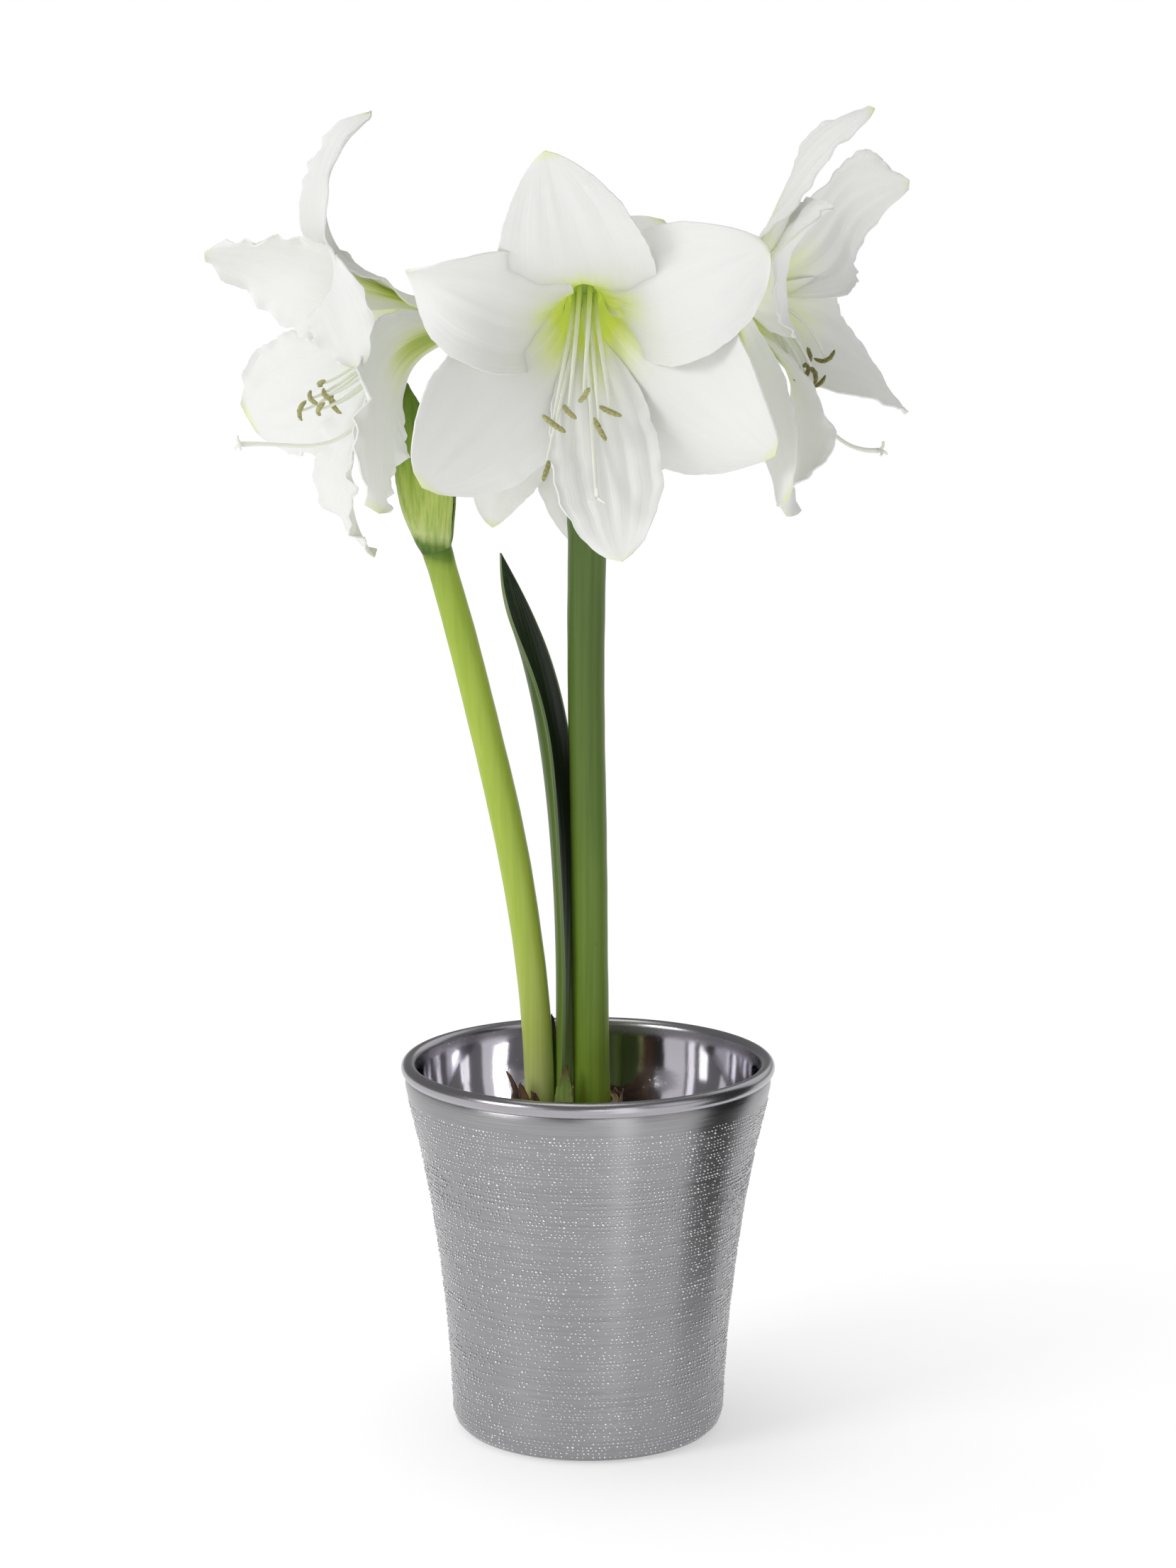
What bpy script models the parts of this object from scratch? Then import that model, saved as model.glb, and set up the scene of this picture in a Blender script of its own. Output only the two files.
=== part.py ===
"""A white amaryllis with two flower stems in a flared, beaded silver pot.

Lengths are in millimetres and are scaled to metres when the meshes are made.
The origin is the centre of the pot's underside, +Z is up and the front is -Y.
"""

from collections import namedtuple
from math import cos, pi, radians, sin

import bmesh
import bpy
import numpy as np
from mathutils import Matrix, Vector

MM = 0.001
GAP = 0.3

# Pot: outer radius by height, a rounded lip and a plain wall.
RIM_RADIUS = 80.0
POT_HEIGHT = 161.7
LIP_RADIUS = 3.15
WALL = 4.5
FLOOR = 6.0
POT_STEPS = 32
POT_OUTSIDE = (
    (76.9, 145.0), (72.2, 125.0), (67.5, 100.0), (63.9, 75.0), (61.1, 50.0),
    (59.25, 25.0), (58.5, 8.0), (57.5, 3.8), (55.2, 1.2), (51.5, 0.0),
)
POT_INSIDE = (
    (50.0, FLOOR), (54.2, 9.5), (56.6, 50.0), (59.4, 75.0), (63.0, 100.0), (67.7, 125.0), (72.4, 145.0),
)

# Soil and bulb.
SOIL_TOP = 116.0
BULB_X = -9.0
BULB_FOOT = 58.0
NECK_RADIUS = 22.4
NECK_TOP = 144.5
WELL_RADIUS = 19.7
WELL_FLOOR = 137.0
STEM_FOOT = 124.0
BULB_SIDE = (
    (NECK_RADIUS, 130.0), (25.0, 127.5), (31.0, 119.0), (38.5, 107.0), (42.0, 92.0),
    (38.5, 76.0), (29.0, 65.0), (15.0, BULB_FOOT),
)
TUNIC_FOOT = 130.0
TUNIC_THICK = 0.9

# Blooms.
TUBE_RADIUS = 7.0
PLUG_LENGTH = 5.0
TEPAL_THICK = 0.85
TEPAL_ROWS = 8
TEPAL_COLUMNS = 4
RING_RADIUS = 4.1
RING_HEIGHT = 2.2
FILAMENT_RADIUS = 0.75
STYLE_RADIUS = 0.85
OVARY_RADIUS = 6.4
PEDICEL_RADIUS = 3.5

# A tepal: azimuth about the bloom's axis (0 is up), length along its midrib, full width,
# then how far the midrib leans out, sways and twists (degrees) at 3/10, 6/10 and its end,
# the two powers of its outline, the height of its waves and how many there are.
Tepal = namedtuple("Tepal", "azimuth length width lean sway twist belly point ruffle waves")
# A bloom: where its tube starts, where it faces (yaw from the front, pitch up), its tepals, the
# anthers, the stigma, the style's straight part and how it then bows, how far the filaments
# rise, and where its stalk stands, which way it sets out and how straight it ends.
Bloom = namedtuple("Bloom", "start yaw pitch tepals anthers stigma style_bow lift foot foot_way back")

BLOOMS = {
    "centre": Bloom(
        (-1.3, -34.0, 489.1), 0, -17,
        (
            Tepal(7, 124, 61, (22, 53, 90), (-1, 3, 8), (-1, 3, -6), 1.12, 0.67, 1.0, 1.7),
            Tepal(68, 113, 49, (21, 54, 93), (5, -10, 5), (-2, 13, -56), 1.27, 0.66, 1.2, 2.0),
            Tepal(-61, 120, 54, (26, 54, 81), (-2, 7, -2), (3, -12, 16), 1.23, 0.69, 1.0, 1.8),
            Tepal(128, 125, 59, (21, 56, 69), (-1, -1, 10), (1, 1, -31), 1.23, 0.59, 0.8, 1.5),
            Tepal(-118, 124, 65, (26, 52, 78), (4, 0, -6), (-2, -1, 49), 1.26, 0.57, 0.8, 1.6),
            Tepal(188, 131, 43, (22, 43, 58), (1, 3, 0), (0, -3, 14), 1.55, 0.68, 1.6, 2.4),
        ),
        (
            (4.5, -108, 437.6), (8.6, -106, 444.3), (-1.5, -112, 450.7),
            (-7.3, -106, 444.1), (-13.3, -108, 439.6), (-16.1, -113, 422.0),
        ),
        (3.4, -118.0, 412.2), (8, 0.2, 0.0, 0.1, -0.04), 0.0, (4.6, -3.4, 397.4), (0.0, 0.0, 1.0), 24.0,
    ),
    "left": Bloom(
        (-47.6, 6.0, 476.8), -62, -8,
        (
            Tepal(0, 132, 74, (30, 78, 159), (5, -15, 3), (12, -19, 7), 1.34, 0.74, 1.6, 2.0),
            Tepal(49, 114, 52, (25, 47, 6), (-2, 1, -5), (3, -2, -34), 1.42, 0.72, 1.2, 2.4),
            Tepal(118, 116, 53, (27, 57, 72), (5, -5, -11), (1, -6, -17), 1.49, 0.7, 1.2, 2.0),
            Tepal(182, 127, 51, (26, 68, 115), (1, -11, 22), (0, 8, 14), 1.51, 0.7, 2.2, 2.5),
            Tepal(-122, 127, 61, (30, 59, 68), (5, -14, -39), (9, 20, 23), 1.38, 0.72, 1.8, 2.4),
            Tepal(-63, 129, 32, (13, 46, 107), (24, -25, -110), (12, -40, -25), 1.6, 0.66, 1.2, 2.0),
        ),
        (
            (-109.1, -34, 440.6), (-106.4, -31, 446.1), (-112.7, -30, 445.1),
            (-109.0, -27, 450.7), (-117.2, -28, 439.7), (-103.9, -26, 442.3),
        ),
        (-139.5, -46.0, 427.3), (24, 0.5, 0.0, 0.1, 0.1), 0.0,
        (-63.88, 0.0, 382.15), (-0.29, 0.0, 0.96), 36.0,
    ),
    "right": Bloom(
        (47.3, 6.0, 486.8), 64, -8,
        (
            Tepal(14, 113, 51, (59, 63, 23), (8, -3, -22), (-3, 22, 7), 1.45, 0.71, 1.4, 2.2),
            Tepal(64, 105, 56, (39, 55, 78), (0, 2, 2), (1, 15, -37), 1.43, 0.7, 1.8, 2.4),
            Tepal(126, 124, 58, (57, 50, 65), (4, 7, 18), (-13, -10, -19), 1.48, 0.7, 1.0, 1.8),
            Tepal(174, 111, 56, (29, 77, 79), (-1, 4, -17), (4, -41, -9), 1.55, 0.68, 2.2, 2.5),
            Tepal(-114, 112, 61, (27, 69, 96), (-1, -1, 5), (12, -35, -39), 1.32, 0.75, 1.2, 2.0),
            Tepal(-51, 114, 58, (43, 95, 2), (9, -6, 2), (-14, 1, 27), 1.32, 0.67, 1.4, 2.2),
        ),
        (
            (88.0, -14, 449.5), (93.7, -20, 450.2), (90.4, -16, 459.9),
            (97.4, -20, 460.3), (91.9, -26, 455.1), (88.5, -24, 454.0),
        ),
        (117.9, -40.0, 424.4), (16, 0.25, 0.0, 0.4, -0.1), 0.35, (2.6, 4.6, 397.4), (0.0, 0.0, 1.0), 22.0,
    ),
    "back": Bloom(
        (-4.1, 36.0, 459.6), 178, -12,
        (
            Tepal(27, 119, 57, (26, 55, 74), (-1, -4, 4), (0, 1, 7), 1.49, 0.71, 1.0, 1.8),
            Tepal(92, 111, 48, (23, 48, 69), (1, 2, 2), (0, 0, 0), 1.5, 0.7, 1.2, 2.2),
            Tepal(130, 111, 58, (17, 27, 54), (-1, -6, -5), (0, 0, 0), 1.5, 0.7, 1.0, 1.8),
            Tepal(179, 117, 48, (25, 51, 70), (0, -5, 7), (0, -1, 11), 1.47, 0.73, 1.4, 2.2),
            Tepal(-143, 120, 37, (24, 50, 67), (5, 3, -34), (0, 1, 9), 1.39, 0.78, 1.0, 1.8),
            Tepal(-59, 106, 48, (21, 38, 62), (1, 2, 2), (0, 0, 0), 1.5, 0.7, 1.2, 2.2),
        ),
        (
            (-2.2, 118, 431.9), (-11.3, 115, 431.6), (-7.4, 113, 438.1),
            (1.7, 115, 438.6), (7.6, 112, 434.2), (-0.5, 110, 428.5),
        ),
        (-1.3, 117.0, 417.8), (8, 0.4, 0.15, 0.5, -0.08), 0.0, (-5.2, -0.8, 397.4), (0.0, 0.0, 1.0), 16.0,
    ),
}

# Stems: centre line from the foot up, and radius at each of those points.
SCAPE_LEFT = (
    (-19.9, 0, STEM_FOOT + GAP), (-22.0, 0, 176), (-27.2, 0, 223), (-34.8, 0, 266),
    (-44.4, 0, 308), (-53.8, 0, 346), (-63.8, 0, 381.8),
)
SCAPE_LEFT_RADII = (6.5, 6.4, 6.5, 6.65, 6.5, 6.3, 6.0)
SCAPE_RIGHT = ((2.2, 0, STEM_FOOT + GAP), (1.0, 0, 190), (0.2, 0, 260), (-0.8, 0, 330), (0.0, 0, 397))
SCAPE_RIGHT_RADII = (7.8, 7.8, 7.8, 7.8, 8.3)

# Blades: points up the keel, half widths, curl (1/mm) and the way the hollow side faces (degrees).
Blade = namedtuple("Blade", "keel half curl faces thick rows columns")
LEAF_LONG = Blade(
    (
        (-12.9, 3.6, WELL_FLOOR + GAP), (-12.6, 3.8, 200), (-14.5, 4, 258),
        (-20.3, 4, 306), (-28.0, 4, 344), (-36.7, 4, 378.3),
    ),
    (11.0, 13.0, 14.0, 13.5, 9.0, 0.0), (0.062, 0.062, 0.075, 0.1, 0.1, 0.06), (-10, -12, -22, -24, -36, -62),
    1.6, 12, 8,
)
LEAF_SHORT = Blade(
    ((-14.8, 11.6, WELL_FLOOR + GAP), (-14.7, 11.6, 160), (-15.6, 11.2, 178.5)),
    (4.2, 3.4, 0.0), (0.1, 0.1, 0.1), (-75, -75, -75), 1.3, 5, 4,
)
LEAF_STUB = Blade(
    ((-10.3, -13.6, WELL_FLOOR + GAP), (-10.2, -12.6, 150), (-9.0, -12.0, 161.5)),
    (3.6, 3.4, 0.0), (0.08, 0.08, 0.08), (80, 80, 80), 1.2, 4, 4,
)
SPATHE_FRONT = Blade(
    ((-63.2, -6.8, 379.6), (-67.7, -10.0, 398), (-70.4, -11.0, 417), (-74.4, -9.5, 436), (-74.8, -7.0, 450)),
    (8.6, 13.6, 13.4, 8.0, 0.0), (0.146, 0.085, 0.07, 0.05, 0.05), (90, 83, 80, 80, 80), 0.9, 8, 6,
)
SPATHE_BACK = Blade(
    ((-63.2, 6.8, 379.6), (-66.0, 11.0, 400), (-68.6, 12.0, 420), (-72.0, 10.0, 438)),
    (8.2, 12.0, 10.0, 0.0), (0.146, 0.08, 0.06, 0.05), (-90, -86, -86, -86), 0.9, 7, 6,
)

MATERIALS = {
    "glaze": ((0.22, 0.22, 0.23), 0.28, 0.9),
    "earth": ((0.035, 0.022, 0.014), 0.95, 0.0),
    "bulb_skin": ((0.36, 0.24, 0.12), 0.7, 0.0),
    "paper_skin": ((0.30, 0.17, 0.08), 0.75, 0.0),
    "stem_lime": ((0.36, 0.45, 0.09), 0.45, 0.0),
    "stem_green": ((0.16, 0.24, 0.07), 0.45, 0.0),
    "leaf_dark": ((0.05, 0.09, 0.025), 0.4, 0.0),
    "spathe_lime": ((0.25, 0.34, 0.06), 0.5, 0.0),
    "petal_white": ((0.86, 0.87, 0.83), 0.5, 0.0),
    "anther_olive": ((0.40, 0.38, 0.20), 0.8, 0.0),
    "style_white": ((0.82, 0.85, 0.72), 0.45, 0.0),
    "stalk_green": ((0.28, 0.38, 0.08), 0.45, 0.0),
}


def clear_scene():
    for thing in list(bpy.data.objects):
        bpy.data.objects.remove(thing, do_unlink=True)


def new_collection(name):
    made = bpy.data.collections.new(name)
    bpy.context.scene.collection.children.link(made)
    return made


def make_materials():
    for name, (colour, rough, metal) in MATERIALS.items():
        made = bpy.data.materials.new(name)
        made.use_nodes = True
        shader = made.node_tree.nodes["Principled BSDF"]
        shader.inputs["Base Color"].default_value = (*colour, 1.0)
        shader.inputs["Roughness"].default_value = rough
        shader.inputs["Metallic"].default_value = metal


def new_object(name, mesh, collection):
    made = bpy.data.objects.new(name, mesh)
    collection.objects.link(made)
    return made


def from_bmesh(name, bm, collection):
    mesh = bpy.data.meshes.new(name)
    bmesh.ops.recalc_face_normals(bm, faces=bm.faces)
    bm.to_mesh(mesh)
    bm.free()
    return new_object(name, mesh, collection)


def apply_modifiers(thing):
    """The modifiers' result becomes the object's own mesh."""
    view = bpy.context.evaluated_depsgraph_get()
    made = bpy.data.meshes.new_from_object(thing.evaluated_get(view))
    thing.modifiers.clear()
    if thing.type == "MESH":
        thing.data = made
        return thing
    kept = new_object(thing.name + "_mesh", made, thing.users_collection[0])
    bpy.data.objects.remove(thing, do_unlink=True)
    return kept


def finish(thing, name, material):
    thing.name = name
    thing.data.name = name
    thing.data.materials.clear()
    thing.data.materials.append(bpy.data.materials[material])
    return thing


def tidy(thing):
    """Weld what lies closer than a hundredth of a millimetre and point the faces outward."""
    bm = bmesh.new()
    bm.from_mesh(thing.data)
    bmesh.ops.remove_doubles(bm, verts=bm.verts, dist=0.01 * MM)
    bmesh.ops.recalc_face_normals(bm, faces=bm.faces)
    bm.to_mesh(thing.data)
    bm.free()
    return thing


def spline(stations, values, at):
    """A smooth curve through values at the stations, read at the places asked for."""
    x = np.asarray(stations, float)
    y = np.asarray(values, float)
    at = np.asarray(at, float)
    count = len(x)
    step = np.diff(x)
    left = np.eye(count)
    right = np.zeros((count, count))
    for i in range(1, count - 1):
        left[i, i - 1 : i + 2] = step[i - 1], 2 * (step[i - 1] + step[i]), step[i]
        right[i, i - 1 : i + 2] = 6 / step[i - 1], -6 / step[i - 1] - 6 / step[i], 6 / step[i]
    bow = np.linalg.solve(left, right) @ y
    i = np.clip(np.searchsorted(x, at, side="right") - 1, 0, count - 2)
    h = step[i]
    t = at - x[i]
    u = x[i + 1] - at
    if y.ndim == 2:
        h, t, u = h[:, None], t[:, None], u[:, None]
    cubic = bow[i] * (u**3 / h - u * h) / 6 + bow[i + 1] * (t**3 / h - t * h) / 6
    return cubic + (y[i] * u + y[i + 1] * t) / h


def smooth(x):
    x = np.clip(x, 0, 1)
    return x * x * (3 - 2 * x)


def sheet(name, points, thick, collection):
    """A thin closed blade from a grid of points whose last row ends in one point."""
    rows, columns = points.shape[0] - 1, points.shape[1] - 1
    bm = bmesh.new()
    bmesh.ops.create_grid(bm, x_segments=rows, y_segments=columns, size=0.5)
    last = []
    for vertex in bm.verts:
        i = round((vertex.co.x + 0.5) * rows)
        j = round((vertex.co.y + 0.5) * columns)
        vertex.co = Vector(points[i, j]) * MM
        if i == rows:
            last.append(vertex)
    bmesh.ops.pointmerge(bm, verts=last, merge_co=Vector(points[rows, columns // 2]) * MM)
    bmesh.ops.triangulate(bm, faces=bm.faces, quad_method="SHORT_EDGE")
    made = from_bmesh(name, bm, collection)
    solid = made.modifiers.new("thickness", "SOLIDIFY")
    solid.thickness = thick * MM
    solid.offset = 0
    return tidy(apply_modifiers(made))


def tepal_points(tepal, inset, rows, columns):
    """The middle surface of a tepal in the bloom's own frame, whose z is the way it faces."""
    steps = 60
    s = np.linspace(0, 1, steps + 1)
    stations = (0, 0.3, 0.6, 1)
    lean = np.radians(spline(stations, (2, *tepal.lean), s))[:, None]
    sway = np.radians(spline(stations, (0, *tepal.sway), s))[:, None]
    twist = np.radians(spline(stations, (0, *tepal.twist), s))[:, None]
    out = np.array((cos(radians(tepal.azimuth)), sin(radians(tepal.azimuth)), 0))
    axis = np.array((0, 0, 1.0))
    side = np.cross(axis, out)
    along = (axis * np.cos(lean) + out * np.sin(lean)) * np.cos(sway) + side * np.sin(sway)
    run = np.cumsum((along[1:] + along[:-1]) / 2 * tepal.length / steps, axis=0)
    middle = out * TUBE_RADIUS + np.vstack((np.zeros(3), run))
    inward = axis * np.sin(lean) - out * np.cos(lean)
    across = np.cross(inward, along)
    across /= np.linalg.norm(across, axis=1)[:, None]
    inward = np.cross(along, across)
    turned = across * np.cos(twist) + inward * np.sin(twist)
    inward = inward * np.cos(twist) - across * np.sin(twist)
    at = np.linspace(0, 1, rows + 1)
    pick = [np.stack([np.interp(at, s, v[:, k]) for k in range(3)], 1) for v in (middle, turned, inward)]
    middle, across, inward = pick
    a, b = tepal.belly, tepal.point
    widest = a / (a + b)
    half = tepal.width / 2 * (at**a * (1 - at) ** b) / (widest**a * (1 - widest) ** b)
    radius = np.linalg.norm(middle[:, :2], axis=1)
    lapped = 1.12 * pi / 6 * np.minimum(radius, 20) * smooth((0.46 - at) / 0.26)
    half = np.maximum(half, lapped)[:, None]
    hoop = 1 / np.maximum(radius, TUBE_RADIUS)[:, None]
    spread = smooth((at - 0.12) / 0.4)[:, None]
    curl = (1 - spread) * hoop + spread * 0.01
    t = np.linspace(-1, 1, columns + 1)[None]
    edge = np.clip((at - 0.3) / 0.35, 0, 1)[:, None]
    phase = np.where(t > 0, 0, 2.1)
    lift = (1 - np.cos(curl * half * t)) / curl
    lift = lift + tepal.ruffle * edge * abs(t) ** 3 * np.sin(2 * pi * tepal.waves * at[:, None] + phase)
    lift = lift - 0.8 * np.exp(-((t / 0.16) ** 2)) * np.sin(pi * at)[:, None]
    lift = lift + inset * (1 - spread)
    wide = np.sin(curl * half * t) / curl
    return middle[:, None] + wide[..., None] * across[:, None] + lift[..., None] * inward[:, None]


def bloom_frame(bloom):
    """Columns: the bloom's up, its side and the way it faces."""
    yaw, pitch = radians(bloom.yaw), radians(bloom.pitch)
    facing = np.array((sin(yaw) * cos(pitch), -cos(yaw) * cos(pitch), sin(pitch)))
    up = np.array((0, 0, 1.0)) - facing * facing[2]
    up /= np.linalg.norm(up)
    return np.stack((up, np.cross(facing, up), facing), 1)


def blade_points(blade):
    """The middle surface of a leaf or spathe valve."""
    at = np.linspace(0, 1, blade.rows + 1)
    stations = np.linspace(0, 1, len(blade.keel))
    keel = spline(stations, blade.keel, at)
    along = np.gradient(spline(stations, blade.keel, at), axis=0)
    along /= np.linalg.norm(along, axis=1)[:, None]
    half = np.maximum(spline(stations, blade.half, at), 0)[:, None]
    curl = spline(stations, blade.curl, at)[:, None]
    faces = np.radians(spline(stations, blade.faces, at))
    inward = np.stack((np.cos(faces), np.sin(faces), np.zeros_like(faces)), 1)
    across = np.cross(along, inward)
    across /= np.linalg.norm(across, axis=1)[:, None]
    inward = np.cross(across, along)
    t = np.linspace(-1, 1, blade.columns + 1)[None]
    wide = np.sin(curl * half * t) / curl
    lift = (1 - np.cos(curl * half * t)) / curl
    return keel[:, None] + wide[..., None] * across[:, None] + lift[..., None] * inward[:, None]


def rod(name, points, radii, sides_step, collection):
    """A round rod along points, with its own radius at each one and flat ends."""
    line = bpy.data.curves.new(name, "CURVE")
    line.dimensions = "3D"
    line.bevel_depth = MM
    line.bevel_resolution = sides_step
    line.use_fill_caps = True
    path = line.splines.new("POLY")
    path.points.add(len(points) - 1)
    for point, co, radius in zip(path.points, points, radii):
        point.co = (*(float(v) * MM for v in co), 1)
        point.radius = float(radius)
    return tidy(apply_modifiers(new_object(name, line, collection)))


def bezier(a, b, c, d, count):
    t = np.linspace(0, 1, count)[:, None]
    a, b, c, d = (np.asarray(v, float) for v in (a, b, c, d))
    return a * (1 - t) ** 3 + 3 * b * t * (1 - t) ** 2 + 3 * c * t * t * (1 - t) + d * t**3


def revolve(name, profile, steps, collection, centre_x=0.0):
    """A body of revolution from (radius, height) points, top to bottom down its outer side."""
    bm = bmesh.new()
    corners = [bm.verts.new((r * MM, 0, z * MM)) for r, z in profile]
    for a, b in zip(corners, corners[1:]):
        bm.edges.new((a, b))
    made = from_bmesh(name, bm, collection)
    screw = made.modifiers.new("turn", "SCREW")
    screw.steps = steps
    screw.render_steps = steps
    screw.use_merge_vertices = True
    screw.merge_threshold = 0.00002
    made = tidy(apply_modifiers(made))
    made.data.transform(Matrix.Translation((centre_x * MM, 0, 0)))
    return made


def combine(thing, others, how):
    """Join to, or cut from, an object all that stands in a collection, which is then emptied.

    What comes off as a loose scrap, or is sealed in between two tepals, is dropped.
    """
    boolean = thing.modifiers.new("combine", "BOOLEAN")
    boolean.operation = how
    boolean.solver = "MANIFOLD"
    boolean.operand_type = "COLLECTION"
    boolean.collection = others
    made = tidy(apply_modifiers(thing))
    for used in list(others.objects):
        bpy.data.objects.remove(used, do_unlink=True)
    bm = bmesh.new()
    bm.from_mesh(made.data)
    bodies = []
    waiting = set(bm.verts)
    while waiting:
        body = [waiting.pop()]
        for vertex in body:
            for edge in vertex.link_edges:
                near = edge.other_vert(vertex)
                if near in waiting:
                    waiting.remove(near)
                    body.append(near)
        bodies.append(body)
    bodies.sort(key=len)
    for body in bodies[:-1]:
        bmesh.ops.delete(bm, geom=body, context="VERTS")
    bm.to_mesh(made.data)
    bm.free()
    return made


def lip_profile():
    """The rounded lip, from the inside over the top to the outside."""
    centre = (RIM_RADIUS - LIP_RADIUS, POT_HEIGHT - LIP_RADIUS)
    turns = np.radians((180, 140, 105, 70, 35, 0, -40))
    return [(centre[0] + LIP_RADIUS * cos(a), centre[1] + LIP_RADIUS * sin(a)) for a in turns]


def build_pot(model):
    profile = [(0.0, FLOOR), *POT_INSIDE, *lip_profile(), *POT_OUTSIDE, (0.0, 0.0)]
    finish(revolve("pot", profile, POT_STEPS, model), "pot", "glaze")


def bulb_profile(swell):
    """The bulb's outside, swollen by a clearance, from the top of its neck to its foot."""
    side = [(NECK_RADIUS + swell, NECK_TOP - 1.5), *((r + swell, z) for r, z in BULB_SIDE)]
    return [*side, (0.0, BULB_FOOT - swell)]


def scape_path(points, radii, count):
    at = np.linspace(0, 1, count)
    stations = np.linspace(0, 1, len(points))
    return spline(stations, points, at), spline(stations, radii, at)


def build_bulb(model, cutters):
    top = [(0.0, WELL_FLOOR), (WELL_RADIUS, WELL_FLOOR), (WELL_RADIUS, NECK_TOP)]
    top.append((NECK_RADIUS - 0.8, NECK_TOP))
    bulb = revolve("bulb", [*top, *bulb_profile(0)], 20, model, BULB_X)
    for points, radii in ((SCAPE_LEFT, SCAPE_LEFT_RADII), (SCAPE_RIGHT, SCAPE_RIGHT_RADII)):
        path, widths = scape_path(points, radii, 10)
        path[0][2] = STEM_FOOT
        rod("stem_hole", path[:4], widths[:4] + GAP, 4, cutters)
    finish(combine(bulb, cutters, "DIFFERENCE"), "bulb", "bulb_skin")


def build_soil(model, cutters):
    """The pot's filling, with a seat for the bulb and a crumbly top."""
    chance = np.random.default_rng(7)
    inner = np.array(POT_INSIDE)
    reach = float(np.interp(SOIL_TOP, inner[:, 1], inner[:, 0])) - GAP
    walls = [(r - GAP, z) for r, z in POT_INSIDE[::-1] if FLOOR + 1 < z < SOIL_TOP]
    rings = [(r, SOIL_TOP) for r in (0.0, 45.0, 52.0, 59.0)]
    profile = [*rings, (reach, SOIL_TOP), *walls, (50.0, FLOOR + GAP), (0.0, FLOOR + GAP)]
    soil = revolve("soil", profile, POT_STEPS, model)
    for vertex in soil.data.vertices:
        radius = vertex.co.xy.length / MM
        if vertex.co.z > (SOIL_TOP - 0.1) * MM and 46 < radius < 60:
            vertex.co.z += float(chance.uniform(-2.5, 1.5)) * MM
    seat = [(0.0, SOIL_TOP + 20), (NECK_RADIUS, SOIL_TOP + 20), *bulb_profile(GAP)[1:]]
    revolve("bulb_seat", seat, 20, cutters, BULB_X)
    finish(combine(soil, cutters, "DIFFERENCE"), "soil", "earth")


def build_tunic(model):
    """The ragged papery skin round the bulb's neck."""
    chance = np.random.default_rng(11)
    count = 26
    bm = bmesh.new()
    bmesh.ops.create_grid(bm, x_segments=count, y_segments=2, size=0.5)
    tops = 145 + chance.uniform(-2.5, 2.5, count + 1)
    for peak, height, spread in ((215, 158.5, 14), (234, 153, 10), (352, 147.5, 10), (100, 151, 16)):
        turn = (np.arange(count + 1) * 360 / count - peak + 180) % 360 - 180
        tops = np.maximum(tops, 143 + (height - 143) * np.clip(1 - abs(turn) / spread, 0, 1))
    tops[count] = tops[0]
    for vertex in bm.verts:
        i = round((vertex.co.x + 0.5) * count)
        j = round((vertex.co.y + 0.5) * 2)
        angle = 2 * pi * (i % count) / count
        radius = NECK_RADIUS + GAP + 0.25 + TUNIC_THICK / 2 + 0.5 * j
        height = TUNIC_FOOT + (tops[i] - TUNIC_FOOT) * (j / 2)
        vertex.co = (BULB_X * MM + radius * cos(angle) * MM, radius * sin(angle) * MM, height * MM)
    bmesh.ops.remove_doubles(bm, verts=bm.verts, dist=0.01 * MM)
    bmesh.ops.triangulate(bm, faces=bm.faces, quad_method="SHORT_EDGE")
    made = from_bmesh("bulb_tunic", bm, model)
    solid = made.modifiers.new("thickness", "SOLIDIFY")
    solid.thickness = TUNIC_THICK * MM
    solid.offset = 0
    finish(tidy(apply_modifiers(made)), "bulb_tunic", "paper_skin")


def build_stems(model):
    path, radii = scape_path(SCAPE_LEFT, SCAPE_LEFT_RADII, 12)
    finish(rod("stem", path, radii, 4, model), "scape_left", "stem_lime")
    path, radii = scape_path(SCAPE_RIGHT, SCAPE_RIGHT_RADII, 9)
    finish(rod("stem", path, radii, 4, model), "scape_right", "stem_green")


def build_blade(name, blade, material, model):
    finish(sheet(name, blade_points(blade), blade.thick, model), name, material)


def build_stalk(name, bloom, frame, model):
    """The pedicel and the ovary at its end, one green body."""
    facing = frame[:, 2]
    end = np.array(bloom.start) - facing * GAP
    foot = np.array(bloom.foot)
    way = np.array(bloom.foot_way) / np.linalg.norm(bloom.foot_way)
    rise = np.linalg.norm(end - foot)
    curve = bezier(foot + way * 3, foot + way * rise * 0.5, end - facing * bloom.back, end - facing * 6, 10)
    path = np.vstack((foot, curve, end))
    reach = np.concatenate(((0,), np.cumsum(np.linalg.norm(np.diff(path, axis=0), axis=1))))
    before = reach[-1] - reach
    swell = smooth((24 - before) / 12) * (1 - 0.12 * smooth((5 - before) / 5))
    radii = PEDICEL_RADIUS + (OVARY_RADIUS - PEDICEL_RADIUS) * swell
    finish(rod(name, path, radii, 2, model), name, "stalk_green")


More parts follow.
